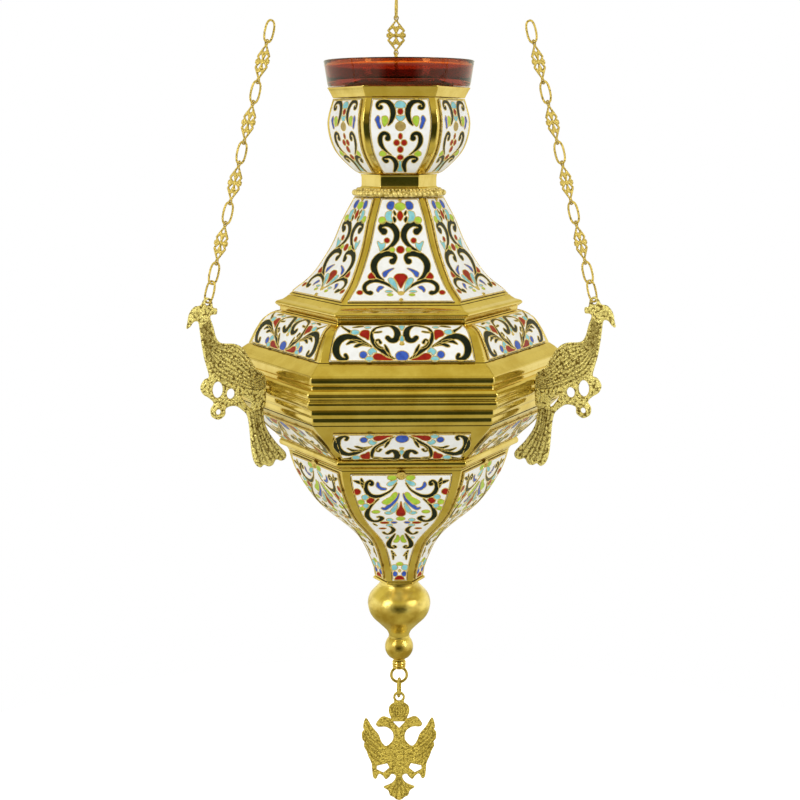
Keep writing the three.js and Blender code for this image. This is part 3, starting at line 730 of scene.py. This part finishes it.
# Mouldings between the tiers, each a closed six-sided ring: its node, piece and start, how much its ridges
# and its section are eased, its outer face from the foot up and its inner face from the top down
COLLAR_FOOT, SHEET, LINER, SLACK = 38.8, 0.9, 1.2, 1.6
BOWL = COLLAR_FOOT * C30 - SHEET - 2 * SEAT - LINER - SLACK
BORE = (BOWL + 0.6) / C30
MOULDINGS = [
    ("cup_collar", "collar_ring", "collar", 0.5, 0.25, f"""38.8,0 39.2,0.8 39.9,2.2 41,4.2 41.7,5.3 42,5.6
     42,6.2 {BORE},6.2 {BORE},0"""),
    ("neck", "neck_ring", "neck", 0.4, 0.4, """23.7,0 23.6,0.7 22.4,1.5 22.3,2.2 22.3,6.6 22.5,7.6 22.9,8.6
     3.9,8.6 3.9,0"""),
    ("cornice", "cornice_ring", "cornice", 0.5, 0.4, """71.6,0 71.8,2.9 72.4,3.3 73.7,3.6 74.6,4.5 74.6,5
     74.1,5.7 73.4,6.2 70,7.1 67.6,8.6 66.5,9.6 61,9.6 62.6,3 62.6,0"""),
    ("mid_band", "middle_band", "band", 0.6, 0.35, """97.7,0 98.6,1 99,2.6 98.9,4.6 99.6,5.3 100.2,6.4
     100.2,8.2 100,9 101.6,9.6 102.8,10.8 103.5,12.4 103.3,13.9 102.2,14.6 102.2,15.2 103.3,15.9 103.6,17.2
     103.2,18.8 101.9,20 99.3,20.4 99.1,22.4 99.9,23 100.3,24.6 100.1,27 99.2,28.2 97.6,29.2 94.6,31.8
     91.3,33.9 83.9,33.9 90.7,24 90.7,0"""),
    ("lower_trim", "lower_moulding", "trim", 0.5, 0.4, """67.9,-7.5 68.4,-6.5 69.6,-5.4 71.6,-4.7 73,-4
     73.5,-2.9 73.4,-1.6 72.8,-0.8 72.2,0 66.2,0 61.7,-7.5"""),
]
for node, name, at, ease, soft, section in MOULDINGS:
    m = Mesh(six(rounded(np.add(xy(section), [0, AT[at]]), soft), ease))
    if node == "cornice":
        q = np.radians(-60 + 60 * np.arange(6))
        beaded = np.column_stack([72.3 * np.cos(q), 72.3 * np.sin(q), np.full(6, AT[at] + 3.35)])
        m.add(*rope(beaded, 0.62, 1.3, 7, 4))
    m.piece(name, ["polished"], [node], 34)

foot = AT["rope"]
m = Mesh(rope(at_height(loop_of(0, 0, 26.2, 26.2, 720), foot + 1.9), 1.85, 2.85, 10, 10),
         lathe([(r, foot + z) for r, z in xy("3.9,0.1 25.6,0.1 25.6,3.7 3.9,3.7")], 72))
bead, faces = lathe(xy("0.05,-0.9 0.65,-0.6 0.92,0 0.65,0.6 0.05,0.9"), 7)
for x, y in loop_of(0, 0, 24.5, 24.5, 72):
    m.add(bead + [x, y, foot + 3.9], faces)
m.piece("rope_wreath", ["ring"], ["rope_ring"], 50)

# Glass cup, from the middle of its foot outside to the middle of its floor inside
outside = [(0, -40), (BOWL * 0.55, -40), (BOWL * 0.72, -38.9), (BOWL * 0.86, -35), (BOWL * 0.96, -24),
           (BOWL, -12), (BOWL, -0.6), (BOWL + 0.4, 0)]
flare = catmull(xy("41,0 41.2,0 41.9,1.6 42.6,6 43.3,10.4 43.8,13.6 43.95,14.5"), 5)[1:]
lip = catmull(xy("43.7,14.85 43,14.9 42.3,14.75 41.9,14.3"), 4)
well = catmull(xy("41.4,12 40.5,6.5 39.4,3.6 36,1") + [
    (BOWL - 1.9, -2.4), (BOWL - 2.4, -12), (BOWL * 0.86, -24), (BOWL * 0.7, -34.6), (BOWL * 0.4, -36.8),
    (0, -37)], 6)
cup = lathe(np.vstack([outside, flare, lip, well]) + [0, AT["glass"]], 128, True)
Mesh(cup).piece("ruby_cup", ["glass"], ["glass_cup"], 40)

# Finial: a lip, a vase and a ball, then a turned collar with a ring
LIP, VASE_TALL, BALL, BALL_SUNK = 2.2, 37.6, 8.9, 2.4
top = AT["finial"]
vase_top = top - LIP
ball = vase_top - VASE_TALL - BALL + BALL_SUNK
foot = ball - BALL * math.sin(math.radians(68)) - 0.6
VASE = xy("""0.6,11.6 2,12 4,13.4 6,15.3 9,17.9 12,19.2 15,19.6 18,19.2 21,18.3 24,16.4 27,13.4 30,10.4
          32.6,8 34.8,6.8 36.4,6.3""")
turned = catmull([(r, vase_top - down) for down, r in VASE], 6).tolist()
line = [(0.05, top - 0.9), (11.2, top - 0.9), *turned, (6.6, vase_top - 37.3), *arc(ball, BALL, 44, -66, 16),
        (3.6, foot), (0.05, foot)]
flange = [(r, top - down) for r, down in xy("11,2.3 13.7,2.3 15.2,1.9 16.3,1.2 16.2,0.5 15.8,0 11,0")]
Mesh(lathe(line[::-1], 72), six(rounded(flange, 0.3), 0.4)).piece(
    "finial_vase", ["vase"], ["finial"], 38)

EYE_TALL, EYE_RADIUS, EYE_SUNK = 5.2, 4.9, 0.2
eye_top = foot - SEAT
ring_z = eye_top - EYE_TALL - EYE_RADIUS + EYE_SUNK
collar = xy("""0.05,-5.2 3.7,-5.2 4.1,-4.9 4.3,-4.3 4.1,-3.8 3.6,-3.5 4.3,-3.2 4.4,-2.7 4.2,-2.3 3.6,-2.1
            4.2,-1.8 4.4,-1.3 4.2,-0.6 3.7,-0.1 3.2,0 0.05,0""")
circle = at_height(loop_of(0, ring_z, EYE_RADIUS, EYE_RADIUS, 40), 0)[:, [0, 2, 1]]
Mesh(lathe(np.add(collar, [0, eye_top]), 48), tube(circle, 1.0, 10, 1)).piece(
    "finial_ring", ["polished"], ["finial_eye"], 36)


# Wire links
def oval(length, width, wire, steps, sides):
    """A closed wire link along Z, across X, with the lump of its soldered joint."""
    t = turns(steps)
    squarer = [np.sign(v) * np.abs(v) ** 0.8 for v in (np.cos(t), np.sin(t))]
    lump = 1 + 0.09 * np.exp(-((t - 0.2) / 0.16) ** 2)
    path = np.column_stack([(width - wire) / 2 * squarer[0], 0 * t, (length - wire) / 2 * squarer[1]])
    return tube(path, (wire / 2 * lump)[:, None], sides, 1)


RING_WIRE, LINK_WIRE, LINK_RUN = 1.8, 1.6, 11.4
link_top = ring_z - EYE_RADIUS + RING_WIRE / 2 + SEAT + LINK_WIRE / 2
pts, faces = oval(LINK_RUN + 1.8, 8.4, 1.8, 36, 9)
c, s = math.cos(math.radians(12)), math.sin(math.radians(12))
pts = pts @ np.array([[s, c, 0], [c, -s, 0], [0, 0, 1]]) + [0, 0, link_top - LINK_RUN / 2]
Mesh((pts, faces)).piece("pendant_ring", ["eagle"], ["pendant_link"], 60)


# Flat castings with relief on both sides
def inside_of(points, loops):
    x, y = points[:, 0], points[:, 1]
    odd = np.zeros(len(points), bool)
    for loop in loops:
        for (x0, y0), (x1, y1) in zip(loop, np.roll(loop, -1, 0)):
            if y0 != y1:
                odd ^= ((y0 > y) != (y1 > y)) & (x < (x1 - x0) * (y - y0) / (y1 - y0) + x0)
    return odd


def away(points, path):
    """Distance of each point from a line of points."""
    best = np.full(len(points), 1e9)
    for a, b in zip(path[:-1], path[1:]):
        d = b - a
        t = np.clip(((points - a) @ d) / max(d @ d, 1e-12), 0, 1)
        best = np.minimum(best, np.linalg.norm(points - (a + t[:, None] * d), axis=1))
    return best


def casting(outline, holes, step, height, right=0.0, up=0.0):
    """Front and back skins, upright across X, over an outline with holes. height gives half the thickness
    and how deep it is cut, from the points and their distance to the edge."""
    loops = [even(outline, step, True)] + [even(h, step * 0.8, True) for h in holes]

    def gap_of(points):
        return np.min([away(points, np.vstack([l, l[:1]])) for l in loops], axis=0)
    low, high = loops[0].min(0), loops[0].max(0)
    gx, gy = np.arange(low[0], high[0], step), np.arange(low[1], high[1], step * 0.87)
    grid = np.array([(x + (j % 2) * step / 2, y) for j, y in enumerate(gy) for x in gx])
    grid = grid[inside_of(grid, loops)]
    grid = grid[gap_of(grid) > step * 0.5]
    edges, start = [], 0
    for l in loops:
        edges += [(start + i, start + (i + 1) % len(l)) for i in range(len(l))]
        start += len(l)
    out = delaunay_2d_cdt([Vector(c) for c in np.concatenate(loops + [grid]).tolist()], edges, [], 0, 1e-6)
    pts = np.array([tuple(c) for c in out[0]])
    tris = np.array([f for f in out[2] if len(f) == 3])
    tris = tris[inside_of(pts[tris].mean(1), loops)]
    u, w = pts[tris[:, 1]] - pts[tris[:, 0]], pts[tris[:, 2]] - pts[tris[:, 0]]
    wrong = u[:, 0] * w[:, 1] - u[:, 1] * w[:, 0] < 0
    tris[wrong] = tris[wrong][:, ::-1]
    h, cut = height(pts, gap_of(pts))
    n = len(pts)
    sides = [(t[i], t[(i + 1) % 3]) for t in tris.tolist() for i in range(3)]
    both = set(sides)
    faces = np.vstack([tris, n + tris[:, ::-1]]).tolist()
    faces += [(b, a, n + a, n + b) for a, b in sides if (b, a) not in both]
    used = np.unique([i for f in faces for i in f])
    index = np.full(2 * n, -1)
    index[used] = np.arange(len(used))
    x, z = (pts + [right, up]).T
    solid = np.column_stack([np.tile(x, 2), np.concatenate([-h, h]), np.tile(z, 2)])
    return solid[used], [tuple(int(index[i]) for i in f) for f in faces], 0, np.tile(cut, 2)[used]


def between(a, b, share, n=24):
    """A line this share of the way from one line to another, as n points."""
    s, ends = np.linspace(0, 1, n), []
    for q in (a, b):
        q = even(catmull(q, 6), 1.0)
        ends.append(np.column_stack([np.interp(s, np.linspace(0, 1, len(q)), q[:, k]) for k in (0, 1)]))
    return ends[0] * (1 - share) + ends[1] * share


def groove(p, path, wide):
    return np.exp(-(away(p, np.asarray(path, float)) / wide) ** 2)


CREST, BIRD_EYE, EAGLE_EYE = (34.5, 31.9), (41.8, 25.6), (10.4, -14.9)
BIRD = xy("""0,-12.8 5.5,-7.8 9.4,-1.5 13.6,4.6 18.3,7.5 26.6,8.6 29.8,11.9 31.5,18.4 33.2,23.6 31.8,25
    29.3,25.2 29,28.3 31.2,29 32.1,33.1 34.5,34.8 36.9,33.1 38.6,30.6 42.2,30 45.4,26.3 46.6,21.5 47.3,18.2
    45.2,19.2 43,21.7 40.1,21.3 39.3,15.7 38.6,9.6 37.2,1 35.5,-5.3 34.6,-10.1 37.5,-11.4 39.9,-15.4
    38.4,-19.6 34.7,-22.2 32.1,-25.3 34,-28.5 33.5,-32.8 29.6,-34.9 25.6,-32.6 24.8,-28.7 18.9,-28.1
    13.4,-32.1 11.4,-35.3 10.3,-42.4 9.3,-55.6 7.5,-62.7 4.4,-65.8 1.7,-64.5 -0.8,-65.8 -3.8,-65.3 -6,-62.3
    -9.1,-63.4 -12.1,-62.3 -12.1,-58.6 -5.5,-51.1 0.2,-41.7 1.6,-31.7 0,-28.5""")
WING_OUT = xy("38.6,19 37.6,9 35.6,-2 31,-10.4 17.6,-17.2 7,-20.4 1,-20")
WING_IN = xy("34,22 32.4,13 28.4,8.4 18,7.2 10.4,0 5.6,-7.4 0.6,-12.8")
FAN_LEFT, FAN_RIGHT = xy("2.6,-31 1.2,-42 -4,-51 -11.2,-60.6"), xy("11.2,-33 9.6,-43 8.6,-55 6.4,-64")


def bird_height(p, edge):
    """Half the thickness and the cut of the peacock: feathers, scales, curled ends and the eye."""
    x, y = p[:, 0], p[:, 1]
    soft = np.clip(edge, 0, 1)
    plump = 1.5 * np.exp(-((x - 21) / 15) ** 2 - ((y + 5) / 11) ** 2)
    plump += 0.9 * np.exp(-((x - 37) / 6) ** 2 - ((y - 16) / 13) ** 2)
    h = 0.55 + 0.95 * np.clip(edge / 1.6, 0, 1) ** 0.6 + plump * np.clip(edge / 3, 0, 1)
    cut = np.zeros(len(p))
    for k in range(9):
        cut += groove(p, between(WING_OUT, WING_IN, 0.06 + 0.11 * k), 0.42)
    for share in (0.12, 0.34, 0.5, 0.66, 0.88):
        cut += 1.1 * groove(p, between(FAN_LEFT, FAN_RIGHT, share), 0.5)
    neck = np.exp(-((x - 36.5) / 4.5) ** 2 - ((y - 8) / 10) ** 4)
    cut += 0.7 * neck * np.clip(np.sin(2.9 * y) * np.sin(2.9 * x), 0, 1)
    belly = np.exp(-((x - 28) / 6) ** 4 - ((y + 9) / 7) ** 4)
    scales = np.sin(3.3 * (x * 0.83 + y * 0.55)) * np.sin(3.1 * (x * 0.55 - y * 0.83))
    cut += 0.5 * belly * np.clip(scales, 0, 1)
    h -= 0.62 * cut * soft
    h += 0.45 * np.clip(edge / 2, 0, 1) * np.clip((-29 - y) / 4, 0, 1) * (x < 13)
    for hx, hy, rx, ry in ((29.6, -17.7, 4.6, 5.9), (21.7, -20.7, 3.7, 4.1), (29.5, -30.5, 2.9, 2.9),
                           (*CREST, 2.2, 2.2)):
        curl = loop_of(hx, hy, rx, ry)
        h += 0.5 * groove(p, np.vstack([curl, curl[:1]]), 0.6)
    eye = np.hypot(*(p - BIRD_EYE).T)
    rim = np.exp(-((eye - 1.5) / 0.35) ** 2)
    h += 0.5 * np.exp(-(eye / 0.8) ** 2) - 0.35 * rim
    h += 0.16 * np.sin(3.1 * x + 1.3 * y) * np.sin(3.4 * y - 1.1 * x) * np.clip(edge / 1.5, 0, 1)
    # The cut, with the eye's rim, also shapes the painted shade in the cast brass
    return np.clip(h, 0.4, 3.0), np.clip(cut * soft + rim, 0, 1)


FOOT = 103.6 * C30 + SEAT
bird_holes = [loop_of(29.6, -17.7, 3.3, 4.7), loop_of(21.7, -20.7, 2.6, 3.0),
              loop_of(29.5, -30.5, 1.65, 1.65, 12),
              catmull(xy("15.1,-22.6 9.7,-26 9.4,-30.2 12.2,-27.9"), 5, True), loop_of(*CREST, 1.6, 1.6, 12)]
bird = Mesh(casting(catmull(BIRD, 4, True), bird_holes, 0.5, bird_height, FOOT)).data(
    "peacock_casting", ["cast"], 50, LAMP)
for side, azimuth in SIDES.items():
    place(bpy.data.objects.new(f"bracket_{side}", bird), [f"peacock_{side}"],
          Matrix.Rotation(math.radians(azimuth), 4, "Z"))


# Double-headed eagle, its right half drawn in thousandths of its half width and its height
def drawn(text):
    return [(x * 0.0239, y * 0.0703) for x, y in xy(text)]


half = catmull(drawn("""138,-53 248,-80 280,-133 225,-190 216,-207 353,-187 468,-188 564,-223 619,-258
    555,-283 362,-283 216,-313 156,-360 179,-423 349,-473 477,-423 546,-357 702,-290 817,-223 885,-197
    940,-233 963,-287 936,-310 1000,-343 982,-403 927,-427 945,-467 872,-517 826,-567 743,-633 725,-700
    697,-770 615,-787 541,-740 440,-757 358,-793 257,-767 202,-740 101,-753 101,-790 179,-827 303,-850
    422,-870 294,-903 248,-950 156,-967 83,-990"""), 3).tolist()
EAGLE = arc(0, 3.9, 215, -35, 9) + half + [(0, -70.3)] + mirrored(half)
LEG = drawn("317,-637 592,-660 601,-697 422,-730 257,-683")
FEATHERS = [xy(pair) for pair in (
    "22.8,-20.5 11.5,-33", "23,-25 12,-36.5", "21.8,-30.5 12,-40", "20.2,-36 12,-44", "18,-42 12.2,-48",
    "20.8,-16.5 13.5,-29", "23.2,-22.7 14,-33.5", "22.6,-27.8 14,-37.3", "21.2,-33.3 14,-41.2")]


def eagle_height(p, edge):
    """Half the thickness and the cut of the eagle: feathers, breast, tail and eyes."""
    x, y = np.abs(p[:, 0]), p[:, 1]
    q = np.column_stack([x, y])
    soft = np.clip(edge, 0, 1)
    h = 0.5 + 0.75 * np.clip(edge / 1.3, 0, 1) ** 0.6
    h += 0.75 * np.exp(-(x / 7) ** 2 - ((y + 38) / 12) ** 2)
    h += 0.4 * np.exp(-(x / 5) ** 2 - ((y + 9) / 4) ** 2)
    cut = np.zeros(len(p))
    for (tx, ty), (rx, ry) in FEATHERS:
        cut += groove(q, [(rx, ry), ((tx + rx) / 2 + 0.8, (ty + ry) / 2 - 0.6), (tx, ty)], 0.34)
    for dx in (0.9, 2.7, 4.4):
        cut += groove(q, [(dx * 0.7, -5.0), (dx, -8.0), (dx * 0.8, -11.6)], 0.36)
    cut += groove(q, [(0, -12.8), (5.4, -12.8)], 0.4)
    for tx, ty in xy("1.9,-68.5 5.2,-66.5 7.8,-62.8 9.4,-59.4"):
        cut += groove(q, [(0.5, -54.5), (tx * 0.6, (ty - 54.5) / 2), (tx, ty)], 0.36)
    for k in range(6):
        low = -25.5 - 4.0 * k
        wave = [(2.2 * i, low - 1.3 * (1 - i % 2)) for i in range(5)]
        cut += 0.6 * groove(q, wave, 0.36) * (x < 9)
    cut += 0.7 * groove(q, [(5.2, -17.6), (8.4, -14.6), (10.8, -13.2)], 0.34)
    cut = np.clip(cut, 0, 1) * soft
    h -= 0.5 * cut
    h += 0.35 * np.exp(-(np.hypot(*(q - EAGLE_EYE).T) / 0.6) ** 2)
    h += 0.12 * np.sin(3.1 * x + 0.7 * y) * np.sin(3.3 * y - x) * soft
    # The cut also shapes the painted shade in the cast brass
    return np.clip(h, 0.35, 2.0), cut


loop_z = link_top - LINK_RUN + LINK_WIRE / 2 + 2 * SEAT - 2.2
eagle_holes = [loop_of(0, 0, 2.3, 2.3, 14), drawn("-170,-233 170,-233 0,-297"), LEG, mirrored(LEG)]
Mesh(casting(EAGLE, eagle_holes, 0.42, eagle_height, 0, loop_z)).piece(
    "eagle_pendant", ["eagle"], ["pendant_eagle"], 50)

# Chains of pierced cross plates and wire links
WIRE, PITCH, LENGTH, HALF_WIDE = 1.25, 22.0, 13.4, 6.2
OVAL, EYE = LENGTH - WIRE, PITCH / 2
rise = [(HALF_WIDE - inset, y) for inset, y in xy("0,0.9 1.5,1.7 0.4,3.1 1.8,4.9")] + [(1.0, EYE - 2.0)]
upper = rise + arc(EYE, 1.725, 0, 180, 8) + mirrored(rise)
petal = xy("0.5,1.3 2.2,4.4 4.2,2.9 1.9,0.9")
kite = [(0, EYE - 2.3), (1.6, EYE - 4.8), (0, EYE - 5.5), (-1.6, EYE - 4.8)]
cross_holes = [rounded([(sx * x, sy * y) for x, y in petal], 0.3) for sx in (1, -1) for sy in (1, -1)]
cross_holes += [rounded([(x, sy * y) for x, y in kite], 0.3) for sy in (1, -1)]
cross_holes += [loop_of(0, sy * EYE, 0.98, 0.98, 12) for sy in (1, -1)]


def cross_height(p, edge):
    """Half the thickness and the cut of a cross plate, with its boss."""
    h = 0.24 + 0.3 * np.clip(edge / 0.55, 0, 1) ** 0.6 + 0.2 * np.exp(-(np.hypot(*p.T) / 0.9) ** 2)
    # Its cut is no groove but a band along the edges and piercings, where the chain brass paints shade
    return np.minimum(h, 0.72), np.clip(0.55 - edge, 0, 0.55)


cross = Mesh(casting(upper + [(-x, -y) for x, y in upper], cross_holes, 0.5, cross_height)).data(
    "cross_link", ["chain"], 45)
wire = Mesh(oval(LENGTH, 7.2, WIRE, 32, 8)).data("wire_link", ["chain"], 60)
LEAN = math.radians(15.5)


def chain(side, crosses, sway, step):
    """The links of one chain, from the crest up. sway is how far its lowest links are turned, in degrees,
    and step the turn from one link to the next."""
    phi = math.radians(SIDES[side])
    e, across = Vector((math.cos(phi), math.sin(phi), 0)), Vector((-math.sin(phi), math.cos(phi), 0))
    up = Vector((0, 0, math.cos(LEAN))) - e * math.sin(LEAN)
    basis = Matrix((across, up.cross(across), up)).transposed().to_4x4()
    start = e * (FOOT + CREST[0]) + Vector((0, 0, CREST[1] + LAMP))

    def link(kind, number, data, s, turn):
        where = Matrix.Translation((start + up * s) * MM) @ basis
        place(bpy.data.objects.new(f"link_{side}_{kind}_{number}", data),
              [f"chain_{side}_{kind}_{number}"], where @ Matrix.Rotation(math.radians(turn), 4, "Z"))
    s, turn = 0, 0
    if side != "rear":
        link("oval", 0, wire, OVAL / 2, 2 * sway)
        s, turn = OVAL - WIRE - SEAT, 90 + sway
    link("oval", 1, wire, s + OVAL / 2, turn)
    for i in range(1, crosses + 1):
        s += OVAL
        link("cross", i, cross, s + PITCH / 2, turn + step)
        s += PITCH
        turn += 2 * step
        link("oval", i + 1, wire, s + OVAL / 2, turn)


chain("left", 4, 12, 90)
chain("right", 4, -12, 90)
chain("rear", 5, 0, 80)

# The rod inside keeps its own solid
rod = frame["nodes"]["tie_rod"]
for i in range(len(rod.material_slots)):
    rod.material_slots[i].material = MAT["satin"]


# Floor, light and camera, in metres
FLOOR, AIM = -0.62, (0, 0, -0.2)


def stage_floor(sides=96):
    """A white floor that glows less near the lamp and is brass-coloured in reflections."""
    n, where = material("floor_paper")
    paper = n.ramp(n.noise(where, 40.0, 4.0), (0.3, 0.82), (0.7, 0.86))
    reflected, seen = n.rays()
    near = n.add("ShaderNodeVectorMath", {0: where}, "Value", operation="LENGTH")
    glow = n.maths("MULTIPLY", seen, n.fade(near, 0.15, 0.5, 0.3, 1.0, "LINEAR"))
    n.surface({"Base Color": n.mix(reflected, paper, (0.46, 0.41, 0.18, 1)), "Roughness": 0.9,
               "Emission Color": (1, 1, 1, 1), "Emission Strength": glow})
    rings = np.vstack([at_height(loop_of(0, 0, r, r, sides), 0) for r in (0.2, 0.4, 0.6)])
    me = bpy.data.meshes.new("floor")
    me.from_pydata([(0, 0, 0)] + rings.tolist(), [], [(0, 1 + i, 1 + (i + 1) % sides) for i in range(sides)]
                   + [(1 + a, 1 + d, 1 + c, 1 + b) for a, b, c, d in quads(3, sides, False, True)])
    me.materials.append(n.owner)
    floor = bpy.data.objects.new("floor", me)
    floor.location = (0, 0, FLOOR)
    bpy.context.scene.collection.objects.link(floor)


def sky():
    """White to the eye and through glass, a room with a dark camera side to polished metal."""
    world = bpy.data.worlds.new("studio")
    bpy.context.scene.world = world
    n = Nodes(world)
    n.tree.nodes.clear()
    facing = n.where("Generated")
    ahead, up = n.along(facing, "Y"), n.along(facing, "Z")
    card = n.maths("MULTIPLY", n.fade(ahead, -0.76, -0.92), n.fade(up, -0.70, -0.64))
    card = n.maths("MULTIPLY", card, n.fade(up, 0.46, 0.40))
    height = n.maths("MULTIPLY_ADD", up, 0.5, 0.44)
    height = n.maths("MULTIPLY_ADD", n.noise(facing, 3.2, 3.0), 0.12, height)
    room = n.ramp(height, (0.0, (0.44, 0.38, 0.13)), (0.14, (0.56, 0.50, 0.19)), (0.26, (0.84, 0.79, 0.50)),
                  (0.36, (0.97, 0.93, 0.70)), (0.58, (1.0, 0.98, 0.85)), (0.68, (0.78, 0.71, 0.36)),
                  (0.84, (0.62, 0.55, 0.21)), (1.0, (0.70, 0.63, 0.27)))
    streaks = n.noise(n.stretch(facing, (2.2, 2.2, 9.0)), 1.3, 4.0)
    room = n.mix(n.fade(streaks, 0.56, 0.74), room, (0.22, 0.18, 0.05, 1))
    room = n.mix(n.maths("MULTIPLY", n.fade(ahead, -0.2, -0.6), 0.4), room, (0.5, 0.43, 0.15, 1))
    room = n.mix(card, room, n.ramp(up, (0.0, (0.04, 0.045, 0.012)), (0.06, (0.15, 0.125, 0.035))))
    reflected, seen = n.rays()
    lit = n.mix(reflected, (0.92, 0.92, 0.92, 1), room)
    both = n.mix(seen, lit, (1, 1, 1, 1))
    n.fill(n.tree.nodes.new("ShaderNodeOutputWorld"),
           {0: n.add("ShaderNodeBackground", {"Color": both, "Strength": 1.0})})


def softbox(name, where, size, power):
    data = bpy.data.lights.new(name, "AREA")
    data.shape, data.size, data.size_y, data.energy = "RECTANGLE", size[0], size[1], power
    lamp = bpy.data.objects.new(name, data)
    lamp.location = where
    lamp.rotation_euler = (Vector(AIM) - Vector(where)).to_track_quat("-Z", "Y").to_euler()
    lamp.visible_camera = False
    bpy.context.scene.collection.objects.link(lamp)


stage_floor()
sky()
softbox("key", (-0.95, -0.8, 0.35), (0.3, 0.5), 3.4)
softbox("fill", (1.0, -0.7, 0.3), (0.25, 0.45), 2.6)

YAW, DOWN = math.radians(1.3), math.radians(10.69)
DISTANCE, ASIDE, LEVEL = 0.8388, 0.0006, (123.0 + LAMP) * MM
camera_data = bpy.data.cameras.new("camera")
camera_data.lens, camera_data.sensor_width = 63.0, 36.0
camera = bpy.data.objects.new("camera", camera_data)
camera.location = (-DISTANCE * math.sin(YAW) + ASIDE * math.cos(YAW),
                   -DISTANCE * math.cos(YAW) - ASIDE * math.sin(YAW), LEVEL)
camera.rotation_euler = (math.pi / 2 - DOWN, 0, -YAW)
bpy.context.scene.collection.objects.link(camera)
bpy.context.scene.camera = camera
bpy.context.scene.view_settings.view_transform = "Standard"
